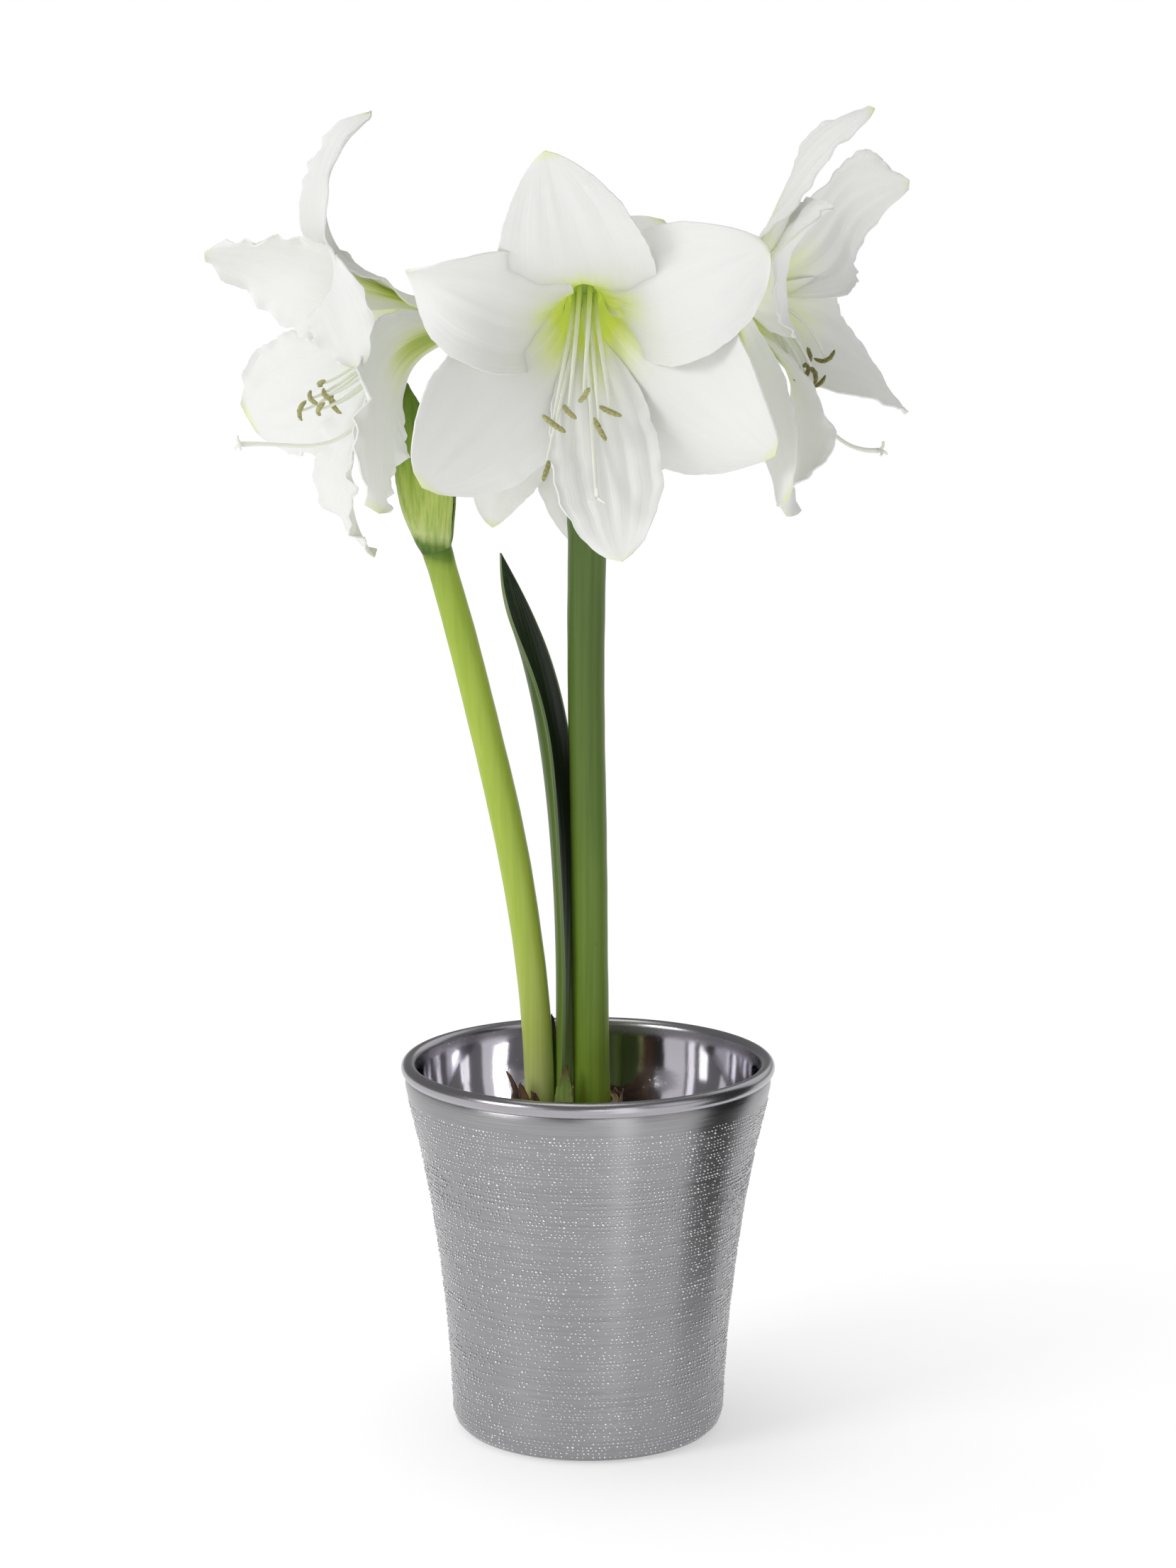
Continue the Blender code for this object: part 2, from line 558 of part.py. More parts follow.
def build_perianth(name, bloom, frame, model, parts):
    """Six tepals, the inner three lapped inside the outer three, fused at the foot of the tube."""
    start = np.array(bloom.start)
    profile = [(0.0, PLUG_LENGTH), (TUBE_RADIUS - 0.2, PLUG_LENGTH), (TUBE_RADIUS + 0.9, PLUG_LENGTH - 1.5)]
    profile += [(TUBE_RADIUS + 0.9, 1.0), (TUBE_RADIUS, 0.0), (0.0, 0.0)]
    plug = revolve(name, profile, 12, model)
    turn = Matrix([[*frame[i], bloom.start[i] * MM] for i in range(3)] + [[0, 0, 0, 1]])
    plug.data.transform(turn)
    for number, tepal in enumerate(bloom.tepals):
        inner = min(abs((tepal.azimuth - a + 180) % 360 - 180) for a in (60, -60, 180)) < 30
        local = tepal_points(tepal, 0.7 if inner else 0.0, TEPAL_ROWS, TEPAL_COLUMNS)
        sheet(f"tepal_{number}", local @ frame.T + start, TEPAL_THICK, parts)
    finish(combine(plug, parts, "UNION"), name, "petal_white")


def build_stamens(name, bloom, frame, model, parts):
    """Six filaments on a ring at the foot of the tube, each with its anther across its end."""
    start = np.array(bloom.start)
    low = PLUG_LENGTH + GAP
    outer = RING_RADIUS + 0.75
    inner = STYLE_RADIUS + 0.55
    profile = [(inner, low + RING_HEIGHT), (outer, low + RING_HEIGHT), (outer, low), (inner, low)]
    ring = revolve(name, [*profile, profile[0]], 9, model)
    turn = Matrix([[*frame[i], bloom.start[i] * MM] for i in range(3)] + [[0, 0, 0, 1]])
    ring.data.transform(turn)
    chance = np.random.default_rng(5)
    facing = frame[:, 2]
    for number, anther in enumerate(bloom.anthers):
        angle = radians(-150 + 60 * number)
        root = np.array((cos(angle) * RING_RADIUS, sin(angle) * RING_RADIUS, low + 0.6))
        base = start + frame @ root
        tip = np.array(anther)
        reach = np.linalg.norm(tip - base)
        rise = frame[:, 0] * reach * bloom.lift
        path = bezier(base, base + facing * reach * 0.4, tip - facing * reach * 0.2 + rise, tip, 6)
        rod(f"filament_{number}", path, [FILAMENT_RADIUS] * 6, 0, parts)
        way = np.cross(facing, chance.normal(size=3) * (1, 1, 0.5))
        way /= np.linalg.norm(way)
        length = float(chance.uniform(4.6, 5.6))
        spots = [tip + way * length * k + facing * (0.5 - 0.9 * k * k) for k in (-1, -0.45, 0.45, 1)]
        rod(f"anther_{number}", spots, (0.7, 1.45, 1.45, 0.7), 1, parts)
    finish(combine(ring, parts, "UNION"), name, "anther_olive")


def build_pistil(name, bloom, frame, model, parts):
    """The long style, which hangs below the stamens and turns up at its three-armed end."""
    start = np.array(bloom.start)
    facing = frame[:, 2]
    base = start + facing * (PLUG_LENGTH + GAP)
    tip = np.array(bloom.stigma)
    out = base + facing * bloom.style_bow[0]
    reach = np.linalg.norm(tip - out)
    ahead, drop, short, rise = (reach * k for k in bloom.style_bow[1:])
    near = out + facing * ahead - frame[:, 0] * drop
    far = tip - facing * short + frame[:, 0] * rise
    path = np.vstack((base, bezier(out, near, far, tip, 10)))
    style = rod(name, path, [STYLE_RADIUS] * 11, 1, model)
    way = path[-1] - path[-2]
    way /= np.linalg.norm(way)
    side = np.cross(way, (0, 0, 1.0))
    side /= np.linalg.norm(side)
    for number, angle in enumerate(np.radians((90, 210, 330))):
        out = side * cos(angle) + np.cross(side, way) * sin(angle)
        spots = [tip - way * 1.4, tip + way * 1.2 + out * 1.6, tip + way * 3.0 + out * 4.4]
        rod(f"stigma_{number}", spots, (0.8, 0.85, 0.6), 0, parts)
    finish(combine(style, parts, "UNION"), name, "style_white")


def build():
    clear_scene()
    make_materials()
    model = new_collection("amaryllis in a pot")
    parts = new_collection("parts")
    build_pot(model)
    build_bulb(model, parts)
    build_soil(model, parts)
    build_tunic(model)
    build_stems(model)
    build_blade("leaf_long", LEAF_LONG, "leaf_dark", model)
    build_blade("leaf_short", LEAF_SHORT, "leaf_dark", model)
    build_blade("leaf_stub", LEAF_STUB, "stem_green", model)
    build_blade("spathe_front", SPATHE_FRONT, "spathe_lime", model)
    build_blade("spathe_back", SPATHE_BACK, "spathe_lime", model)
    for side, bloom in BLOOMS.items():
        frame = bloom_frame(bloom)
        build_stalk(f"stalk_{side}", bloom, frame, model)
        build_perianth(f"perianth_{side}", bloom, frame, model, parts)
        build_stamens(f"stamens_{side}", bloom, frame, model, parts)
        build_pistil(f"pistil_{side}", bloom, frame, model, parts)
    bpy.data.collections.remove(parts)


build()
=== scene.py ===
"""A white amaryllis in a flared silver pot, dressed for the studio.

Lengths are in millimetres in the classes and in metres in the meshes. The origin is the
centre of the pot's underside, +Z is up and the front is -Y.
"""

import logging
from dataclasses import dataclass, field
from enum import Enum
from math import cos, pi, radians, sin
from typing import Optional, Sequence, Union

import bpy
import numpy as np
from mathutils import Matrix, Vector


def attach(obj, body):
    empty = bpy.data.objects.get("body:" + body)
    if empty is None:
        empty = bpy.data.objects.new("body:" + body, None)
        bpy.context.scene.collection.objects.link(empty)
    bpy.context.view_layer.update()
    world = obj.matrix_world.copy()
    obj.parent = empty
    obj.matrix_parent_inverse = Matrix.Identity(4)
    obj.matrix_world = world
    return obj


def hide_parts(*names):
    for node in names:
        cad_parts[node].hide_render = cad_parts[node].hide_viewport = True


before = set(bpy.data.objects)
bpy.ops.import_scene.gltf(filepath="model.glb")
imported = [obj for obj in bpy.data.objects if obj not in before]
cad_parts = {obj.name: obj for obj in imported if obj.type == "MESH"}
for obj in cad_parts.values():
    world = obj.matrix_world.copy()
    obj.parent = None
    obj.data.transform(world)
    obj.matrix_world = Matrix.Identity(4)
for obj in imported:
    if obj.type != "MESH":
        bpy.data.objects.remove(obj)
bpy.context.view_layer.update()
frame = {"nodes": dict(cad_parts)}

MM = 0.001
LOG = logging.getLogger("amaryllis")

Colour = tuple[float, float, float]
Point = tuple[float, float, float]
Row = Sequence[float]

BLACK: Colour = (0.0, 0.0, 0.0)
WHITE: Colour = (1.0, 1.0, 1.0)


class Wire:
    """A value in a material: one output socket, with Python's arithmetic on it."""

    def __init__(self, board: "Board", socket: bpy.types.NodeSocket) -> None:
        """Keep the socket and the board that it belongs to."""
        self.board = board
        self.socket = socket

    def _maths(self, how: str, first: "Number", second: "Number") -> "Wire":
        """The Math node for one operation on two values."""
        return self.board.node("ShaderNodeMath", {"operation": how}, {0: first, 1: second})

    def __add__(self, other: "Number") -> "Wire":
        """The sum of the two."""
        return self._maths("ADD", self, other)

    def __radd__(self, other: "Number") -> "Wire":
        """The sum, with the number first."""
        return self._maths("ADD", other, self)

    def __sub__(self, other: "Number") -> "Wire":
        """This less the other."""
        return self._maths("SUBTRACT", self, other)

    def __rsub__(self, other: "Number") -> "Wire":
        """The other less this."""
        return self._maths("SUBTRACT", other, self)

    def __mul__(self, other: "Number") -> "Wire":
        """The product of the two."""
        return self._maths("MULTIPLY", self, other)

    def __rmul__(self, other: "Number") -> "Wire":
        """The product, with the number first."""
        return self._maths("MULTIPLY", other, self)

    def __truediv__(self, other: "Number") -> "Wire":
        """This divided by the other."""
        return self._maths("DIVIDE", self, other)

    def __rtruediv__(self, other: "Number") -> "Wire":
        """The other divided by this."""
        return self._maths("DIVIDE", other, self)


Number = Union[Wire, float]


class Board:
    """The node tree of one material or of the surroundings."""

    def __init__(self, owner: Union[bpy.types.Material, bpy.types.World]) -> None:
        """Open a new tree.

        Args:
            owner: the material or the world that it belongs to.
        """
        owner.use_nodes = True
        self.owner = owner
        self.tree = owner.node_tree

    @classmethod
    def named(cls, name: str) -> "Board":
        """The tree of a new material."""
        return cls(bpy.data.materials.new(name))

    def node(self, kind: str, settings: dict, inputs: dict, output: Union[int, str] = 0) -> Wire:
        """Add a node.

        Args:
            kind: the node's type.
            settings: its own settings; "stops" holds a ramp's places and colours.
            inputs: a value or a Wire for each of its sockets, by name or number.
            output: the output to hand on.

        Returns:
            The chosen output.
        """
        made = self.tree.nodes.new(kind)
        for key, value in settings.items():
            if key == "stops":
                elements = made.color_ramp.elements
                elements.remove(elements[1])
                elements[0].position = value[0][0]
                elements[0].color = (*value[0][1], 1.0)
                for place, colour in value[1:]:
                    elements.new(place).color = (*colour, 1.0)
            else:
                setattr(made, key, value)
        for key, value in inputs.items():
            self.plug(made.inputs[key], value)
        return Wire(self, made.outputs[output])

    def plug(self, socket: bpy.types.NodeSocket, value: object) -> None:
        """Link a Wire to a socket, or set a plain value on it.

        Args:
            socket: the input.
            value: what it gets.
        """
        if isinstance(value, Wire):
            self.tree.links.new(value.socket, socket)
        else:
            socket.default_value = value

    def place(self) -> Wire:
        """The piece's own coordinates, in metres."""
        return self.node("ShaderNodeTexCoord", {}, {}, "Object")

    def blade(self) -> Wire:
        """Across and along a blade, both from 0 to 1."""
        return self.node("ShaderNodeUVMap", {"uv_map": "blade"}, {})

    def held(self, name: str) -> Wire:
        """A number that the mesh holds at each point."""
        return self.node("ShaderNodeAttribute", {"attribute_name": name}, {}, "Fac")

    def part(self, vector: Wire, axis: str) -> Wire:
        """One coordinate of a vector: X, Y or Z."""
        return self.node("ShaderNodeSeparateXYZ", {}, {0: vector}, axis)

    def stretched(self, vector: Wire, scale: Point) -> Wire:
        """A vector with each of its coordinates scaled."""
        return self.node("ShaderNodeVectorMath", {"operation": "MULTIPLY"}, {0: vector, 1: scale})

    def noise(self, vector: Wire, detail: float = 3.0, rough: float = 0.5, bend: float = 0.0) -> Wire:
        """Cloudy noise from 0 to 1, one cloud a unit."""
        inputs = {"Vector": vector, "Scale": 1.0, "Detail": detail, "Roughness": rough, "Distortion": bend}
        return self.node("ShaderNodeTexNoise", {}, inputs)

    def between(self, value: Number, low: float, high: float) -> Wire:
        """A smooth step: 0 below low and 1 above high."""
        settings = {"interpolation_type": "SMOOTHSTEP"}
        return self.node("ShaderNodeMapRange", settings, {"Value": value, "From Min": low, "From Max": high})

    def ramp(self, value: Number, stops: Sequence[tuple[float, Colour]]) -> Wire:
        """Colours by value."""
        return self.node("ShaderNodeValToRGB", {"stops": stops}, {0: value})

    def mix(self, share: Number, first: object, second: object, how: str = "MIX") -> Wire:
        """A colour between two.

        Args:
            share: 0 for the first, 1 for the second.
            first: a colour or a Wire.
            second: a colour or a Wire.
            how: the way of blending.

        Returns:
            The blended colour.
        """
        first, second = ((*c, 1.0) if isinstance(c, tuple) else c for c in (first, second))
        settings = {"data_type": "RGBA", "blend_type": how, "clamp_factor": True}
        return self.node("ShaderNodeMix", settings, {0: share, 6: first, 7: second}, 2)

    def window(self, value: Number, low: float, high: float, soft: float = 0.03) -> Wire:
        """1 between low and high and 0 outside, with soft edges."""
        return self.between(value, low, low + soft) - self.between(value, high - soft, high)

    def bump(self, height: Wire, depth: float, strength: float = 1.0) -> Wire:
        """A raised surface, with its full height given in metres."""
        inputs = {"Strength": strength, "Distance": depth, "Height": height}
        return self.node("ShaderNodeBump", {}, inputs, "Normal")

    def done(self, **sockets: object) -> bpy.types.Material:
        """Set the shader's own sockets.

        Args:
            sockets: a value or Wire for each, with _ for a space in its name.

        Returns:
            The finished material.
        """
        shader = self.tree.nodes["Principled BSDF"]
        for key, value in sockets.items():
            value = (*value, 1.0) if isinstance(value, tuple) and key.endswith("Color") else value
            self.plug(shader.inputs[key.replace("_", " ")], value)
        return self.owner


@dataclass(frozen=True)
class PetalFinish:
    """White petal flesh that turns green in the throat, with fine veins lengthwise and a painted lime glow
    that lifts the shade inside the throat.
    """

    name: str = "petal white"
    white: Colour = (0.855, 0.86, 0.83)
    cream: Colour = (0.80, 0.85, 0.52)
    lime: Colour = (0.64, 0.72, 0.13)
    green: Colour = (0.46, 0.58, 0.06)
    behind: Colour = (0.34, 0.45, 0.09)
    shade: Colour = (0.84, 0.85, 0.83)
    # how strongly the throat glows: painted light that lifts the shade in the tube
    throat_painted_glow: float = 0.36

    def make(self) -> bpy.types.Material:
        """Lay the finish out as a node tree.

        Returns:
            The material.
        """
        board = Board.named(self.name)
        blade = board.blade()
        vein = board.noise(board.stretched(blade, (46.0, 1.6, 1.0)), 3.0, 0.55)
        ray = board.noise(board.stretched(blade, (15.0, 0.8, 1.0)), 2.0, 0.5)
        cloud = board.noise(board.stretched(board.place(), (55.0, 55.0, 55.0)), 2.0)
        green = board.held("green")
        mask = green + (vein * 0.5 + ray * 0.5 - 0.5) * green * (1.0 - green) * 3.4
        stops = ((0.0, self.white), (0.25, self.cream), (0.62, self.lime), (1.0, self.green))
        base = board.ramp(mask, stops)
        base = board.mix(board.between(mask, 0.1, 1.0) * board.held("back"), base, self.behind)
        base = board.mix((vein * 0.6 + cloud * 0.4) * 0.3, base, self.shade, "MULTIPLY")
        # painted light: the green inner face near the foot glows lime, lifting the shade inside the tube
        glow = green * (1.0 - board.held("back")) * board.between(1.0 - board.part(blade, "Y"), 0.4, 0.6)
        height = (vein * 0.2 + ray * 1.0) * board.held("breadth") + cloud * 0.5
        return board.done(
            Base_Color=base,
            Roughness=0.46 + cloud * 0.14,
            Normal=board.bump(height, 0.0010, 0.4),
            Subsurface_Weight=0.22,
            Subsurface_Radius=(1.0, 1.0, 0.8),
            Subsurface_Scale=0.004,
            Sheen_Weight=0.12,
            Sheen_Roughness=0.5,
            Specular_IOR_Level=0.35,
            Emission_Color=board.mix(glow, BLACK, self.lime),
            Emission_Strength=self.throat_painted_glow,
        )


@dataclass(frozen=True)
class GreenFinish:
    """Living green skin: its colour runs with height, with streaks, scuffs and a waxy shine.

    heights gives the colour at each height in millimetres. The hollow side of a leaf or a spathe takes a
    darker colour of its own, painted shade for the shadow in the hollow, which comes in between the two
    heights given for it.
    """

    name: str
    heights: tuple[tuple[float, Colour], ...]
    tallest: float = 600.0
    streak: Colour = (0.75, 0.85, 0.55)
    streak_share: float = 0.5
    streak_scale: Point = (420.0, 420.0, 9.0)
    rough: float = 0.38
    scuffs: float = 0.0
    scuff: Colour = (0.10, 0.12, 0.03)
    patch: Colour = (0.80, 0.86, 0.62)
    # painted shade: the dark colour laid on the hollow side
    hollow: Optional[Colour] = None
    hollow_shade_from: tuple[float, float] = (0.0, 50.0)
    margin: Optional[Colour] = None

    def make(self) -> bpy.types.Material:
        """Lay the finish out as a node tree.

        Returns:
            The material.
        """
        board = Board.named(self.name)
        place = board.place()
        streaks = board.noise(board.stretched(place, self.streak_scale), 3.0, 0.6)
        cloud = board.noise(board.stretched(place, (60.0, 60.0, 18.0)), 3.0)
        tall = board.part(place, "Z") + (cloud - 0.5) * 0.02
        stops = tuple((z / self.tallest, colour) for z, colour in self.heights)
        base = board.ramp(tall / (self.tallest * MM), stops)
        streaked = board.between(streaks, 0.38, 0.72) * self.streak_share
        base = board.mix(streaked, base, self.streak, "MULTIPLY")
        base = board.mix(board.between(cloud, 0.45, 0.8) * 0.22, base, self.patch, "MULTIPLY")
        # painted shade: darken the hollow side, where shadow falls, between the two heights
        if self.hollow:
            low, high = (z * MM for z in self.hollow_shade_from)
            base = board.mix(board.held("inside") * board.between(tall, low, high), base, self.hollow)
        if self.margin:
            base = board.mix(board.held("margin"), base, self.margin)
        if self.scuffs:
            spots = board.noise(board.stretched(place, (210.0, 210.0, 90.0)), 4.0, 0.65)
            base = board.mix(board.between(spots, 0.66, 0.74) * self.scuffs, base, self.scuff)
        height = streaks * 0.7 + cloud * 0.6
        return board.done(
            Base_Color=base,
            Roughness=self.rough + streaks * 0.16,
            Normal=board.bump(height, 0.0004, 0.5),
            Subsurface_Weight=0.06,
            Subsurface_Radius=(0.6, 1.0, 0.2),
            Subsurface_Scale=0.003,
            Specular_IOR_Level=0.32,
            Coat_Weight=0.08,
            Coat_Roughness=0.3,
        )


@dataclass(frozen=True)
class BrushedGlaze:
    """Satin silver glaze, brushed round the pot in fine level streaks."""

    name: str = "brushed silver glaze"
    light: Colour = (0.375, 0.37, 0.38)
    dark: Colour = (0.28, 0.275, 0.285)

    def make(self) -> bpy.types.Material:
        """Lay the finish out as a node tree.

        Returns:
            The material.
        """
        board = Board.named(self.name)
        place = board.place()
        fine = board.noise(board.stretched(place, (38.0, 38.0, 2600.0)), 3.0, 0.6)
        broad = board.noise(board.stretched(place, (9.0, 9.0, 1300.0)), 2.0, 0.5)
        grain = board.noise(board.stretched(place, (1100.0, 1100.0, 1700.0)), 2.0)
        streak = fine * 0.65 + broad * 0.35
        base = board.mix(board.between(streak, 0.3, 0.7), self.dark, self.light)
        height = fine * 0.8 + broad * 0.4 + grain * 0.4
        return board.done(
            Base_Color=base,
            Metallic=1.0,
            Roughness=0.27 + board.between(streak, 0.35, 0.65) * 0.12,
            Normal=board.bump(height, 0.00012, 0.6),
            Anisotropic=0.65,
            Anisotropic_Rotation=0.25,
        )


@dataclass(frozen=True)
class MirrorGlaze:
    """The smooth glaze: nearly a mirror inside the pot, and satin from the lip's height up, where its colour
    is also darkened as painted shade for the dark reflection on the lip.
    """

    name: str = "mirror silver glaze"
    colour: Colour = (0.70, 0.685, 0.72)
    shade: Colour = (0.62, 0.605, 0.64)
    # painted shade: the lip's darker colour stands for the dark reflection seen on the lip
    lip: Colour = (0.40, 0.39, 0.415)
    lip_from: tuple[float, float] = (153.5, 157.5)

    def make(self) -> bpy.types.Material:
        """Lay the finish out as a node tree.

        Returns:
            The material.
        """
        board = Board.named(self.name)
        place = board.place()
        wave = board.noise(board.stretched(place, (24.0, 24.0, 30.0)), 1.0)
        pits = board.noise(board.stretched(place, (700.0, 700.0, 700.0)), 2.0)
        lip = board.between(board.part(place, "Z"), *(z * MM for z in self.lip_from))
        base = board.mix(board.between(wave, 0.3, 0.8), self.colour, self.shade)
        # painted shade: darken the colour from the lip's height up; the added roughness there is the glaze's
        # own satin
        base = board.mix(lip, base, self.lip)
        return board.done(
            Base_Color=base,
            Metallic=1.0,
            Roughness=0.07 + lip * 0.19 + board.between(pits, 0.66, 0.78) * 0.1,
            Normal=board.bump(wave + pits * 0.02, 0.0012, 0.22),
        )


@dataclass(frozen=True)
class BeadFinish:
    """Bright drops of glaze that stand on the brushed wall."""

    name: str = "silver beads"
    dull: Colour = (0.78, 0.78, 0.80)
    bright: Colour = (0.97, 0.97, 0.98)

    def make(self) -> bpy.types.Material:
        """Lay the finish out as a node tree.

        Returns:
            The material.
        """
        board = Board.named(self.name)
        tone = board.noise(board.stretched(board.place(), (60.0, 60.0, 60.0)), 2.0)
        base = board.mix(board.between(tone, 0.35, 0.65), self.dull, self.bright)
        return board.done(Base_Color=base, Metallic=0.55, Roughness=0.10 + tone * 0.1)


@dataclass(frozen=True)
class SpeckledFinish:
    """A dry, broken-coloured skin: soil, bulb scales, papery tunic or pollen."""

    name: str
    dark: Colour
    light: Colour
    scale: Point
    depth: float
    rough: float = 0.85
    sheen: float = 0.0

    def make(self) -> bpy.types.Material:
        """Lay the finish out as a node tree.

        Returns:
            The material.
        """
        board = Board.named(self.name)
        place = board.place()
        coarse = board.noise(board.stretched(place, self.scale), 5.0, 0.62, 0.4)
        fine = board.noise(board.stretched(place, tuple(v * 4.3 for v in self.scale)), 3.0, 0.6)
        tone = coarse * 0.7 + fine * 0.3
        base = board.mix(board.between(tone, 0.36, 0.66), self.dark, self.light)
        return board.done(
            Base_Color=base,
            Roughness=self.rough - tone * 0.15,
            Normal=board.bump(coarse + fine * 0.5, self.depth, 0.8),
            Sheen_Weight=self.sheen,
        )


@dataclass(frozen=True)
class StyleFinish:
    """Smooth white flesh of filaments and styles, faintly green where it leaves the tube."""

    name: str = "style white"
    white: Colour = (0.88, 0.90, 0.82)
    green: Colour = (0.50, 0.64, 0.14)
    shade: Colour = (0.84, 0.88, 0.74)

    def make(self) -> bpy.types.Material:
        """Lay the finish out as a node tree.

        Returns:
            The material.
        """
        board = Board.named(self.name)
        cloud = board.noise(board.stretched(board.place(), (160.0, 160.0, 160.0)), 2.0)
        base = board.mix(board.held("green"), self.white, self.green)
        base = board.mix(cloud * 0.2, base, self.shade, "MULTIPLY")
        return board.done(
            Base_Color=base,
            Roughness=0.36 + cloud * 0.12,
            Subsurface_Weight=0.2,
            Subsurface_Radius=(1.0, 1.0, 0.7),
            Subsurface_Scale=0.002,
        )


@dataclass(frozen=True)
class FloorFinish:
    """The studio's plain white floor, which glows into the white surroundings further out."""

    name: str = "studio floor"
    near: float = 0.05
    far: float = 0.55
    paint: Colour = (0.85, 0.85, 0.85)
    glow: Colour = (0.42, 0.42, 0.42)

    def make(self) -> bpy.types.Material:
        """Lay the finish out as a node tree.

        Returns:
            The material.
        """
        board = Board.named(self.name)
        distance = board.node("ShaderNodeVectorMath", {"operation": "LENGTH"}, {0: board.place()}, "Value")
        out = board.between(distance, self.near, self.far)
        base = board.mix(out, self.paint, BLACK)
        glow = board.mix(out, self.glow, WHITE)
        return board.done(Base_Color=base, Roughness=1.0, Emission_Color=glow, Emission_Strength=1.0)


class Skin(Enum):
    """The finishes of the object, each made once."""

    PETAL = PetalFinish()
    SCAPE_LEFT = GreenFinish(
        "lime stem",
        (
            (150.0, (0.66, 0.73, 0.27)), (176.0, (0.56, 0.65, 0.15)), (215.0, (0.44, 0.56, 0.08)),
            (330.0, (0.40, 0.52, 0.065)), (374.0, (0.34, 0.46, 0.06)), (378.0, (0.12, 0.22, 0.015)),
            (383.0, (0.11, 0.20, 0.02)),
        ),
    )
    SCAPE_RIGHT = GreenFinish(
        "green stem",
        (
            (150.0, (0.25, 0.375, 0.035)), (200.0, (0.165, 0.265, 0.025)), (280.0, (0.115, 0.19, 0.026)),
            (350.0, (0.10, 0.16, 0.03)), (400.0, (0.11, 0.175, 0.035)),
        ),
        streak=(0.62, 0.74, 0.52),
        streak_share=0.7,
        scuffs=0.5,
    )
    LEAF = GreenFinish(
        "dark leaf",
        ((150.0, (0.24, 0.36, 0.05)), (200.0, (0.105, 0.18, 0.02)), (370.0, (0.034, 0.066, 0.011))),
        streak=(0.7, 0.8, 0.6),
        streak_share=0.45,
        rough=0.33,
        # painted shade: the leaf's hollow side, which lies in shadow, is near black from 165 mm up
        hollow=(0.010, 0.021, 0.005),
        hollow_shade_from=(165.0, 250.0),
        margin=(0.22, 0.29, 0.13),
    )
    LEAF_TIP = GreenFinish(
        "leaf with a dry tip",
        (
            (148.0, (0.09, 0.15, 0.03)), (168.0, (0.06, 0.10, 0.022)), (173.0, (0.13, 0.085, 0.03)),
            (179.0, (0.055, 0.03, 0.014)),
        ),
        rough=0.5,
    )
    STUB = GreenFinish(
        "torn stub",
        (
            (140.0, (0.34, 0.42, 0.12)), (153.0, (0.20, 0.30, 0.06)), (157.5, (0.16, 0.10, 0.035)),
            (162.0, (0.05, 0.03, 0.015)),
        ),
        rough=0.5,
    )
    # the spathe's colour darkens towards the top: painted shadow cast by the blooms above
    SPATHE = GreenFinish(
        "spathe skin",
        (
            (379.0, (0.10, 0.19, 0.02)), (382.5, (0.16, 0.27, 0.03)), (385.5, (0.62, 0.70, 0.30)),
            (392.0, (0.58, 0.68, 0.19)), (410.0, (0.46, 0.58, 0.10)), (424.0, (0.24, 0.36, 0.04)),
            (450.0, (0.11, 0.20, 0.015)),
        ),
        streak=(0.42, 0.58, 0.18),
        streak_share=0.75,
        streak_scale=(430.0, 430.0, 20.0),
        rough=0.42,
        # painted shade: the spathe's hollow side is darker
        hollow=(0.19, 0.27, 0.06),
    )
    STALK = GreenFinish(
        "flower stalk",
        ((380.0, (0.24, 0.35, 0.06)), (440.0, (0.28, 0.38, 0.07)), (490.0, (0.26, 0.38, 0.06))),
    )
    BRUSHED = BrushedGlaze()
    MIRROR = MirrorGlaze()
    BEADS = BeadFinish()
    SOIL = SpeckledFinish(
        "potting soil", (0.006, 0.004, 0.003), (0.075, 0.048, 0.03), (260.0, 260.0, 260.0), 0.0025
    )
    BULB = SpeckledFinish(
        "bulb scales", (0.16, 0.085, 0.035), (0.50, 0.36, 0.19), (60.0, 60.0, 18.0), 0.001, 0.7
    )
    PAPER = SpeckledFinish(
        "papery skin", (0.018, 0.009, 0.005), (0.27, 0.14, 0.065), (130.0, 130.0, 70.0), 0.0012, 0.75, 0.1
    )
    POLLEN = SpeckledFinish(
        "pollen", (0.27, 0.26, 0.08), (0.60, 0.575, 0.25), (1300.0, 1300.0, 1300.0), 0.0005, 0.95, 0.3
    )
    POLLEN_DARK = SpeckledFinish(
        "olive pollen", (0.12, 0.11, 0.02), (0.36, 0.335, 0.10), (1300.0, 1300.0, 1300.0), 0.0005, 0.95, 0.3
    )
    STYLE = StyleFinish()

    def material(self) -> bpy.types.Material:
        """The finish's material, made when it is first asked for."""
        return bpy.data.materials.get(self.value.name) or self.value.make()


def spline(stations: Row, values: Sequence, at: Row) -> np.ndarray:
    """A smooth curve through values at the stations.

    Args:
        stations: where the values stand, rising.
        values: a number or a point for each.
        at: the places to read.

    Returns:
        The values there.
    """
    x = np.asarray(stations, float)
    y = np.asarray(values, float)
    at = np.asarray(at, float)
    count = len(x)
    step = np.diff(x)
    left = np.eye(count)
    right = np.zeros((count, count))
    for i in range(1, count - 1):
        left[i, i - 1 : i + 2] = step[i - 1], 2 * (step[i - 1] + step[i]), step[i]
        right[i, i - 1 : i + 2] = 6 / step[i - 1], -6 / step[i - 1] - 6 / step[i], 6 / step[i]
    bow = np.linalg.solve(left, right) @ y
    i = np.clip(np.searchsorted(x, at, side="right") - 1, 0, count - 2)
    h, t, u = step[i], at - x[i], x[i + 1] - at
    if y.ndim == 2:
        h, t, u = h[:, None], t[:, None], u[:, None]
    cubic = bow[i] * (u**3 / h - u * h) / 6 + bow[i + 1] * (t**3 / h - t * h) / 6
    return cubic + (y[i] * u + y[i + 1] * t) / h


def smooth(x: Union[float, np.ndarray]) -> np.ndarray:
    """A step from 0 to 1 with soft ends."""
    x = np.clip(x, 0, 1)
    return x * x * (3 - 2 * x)


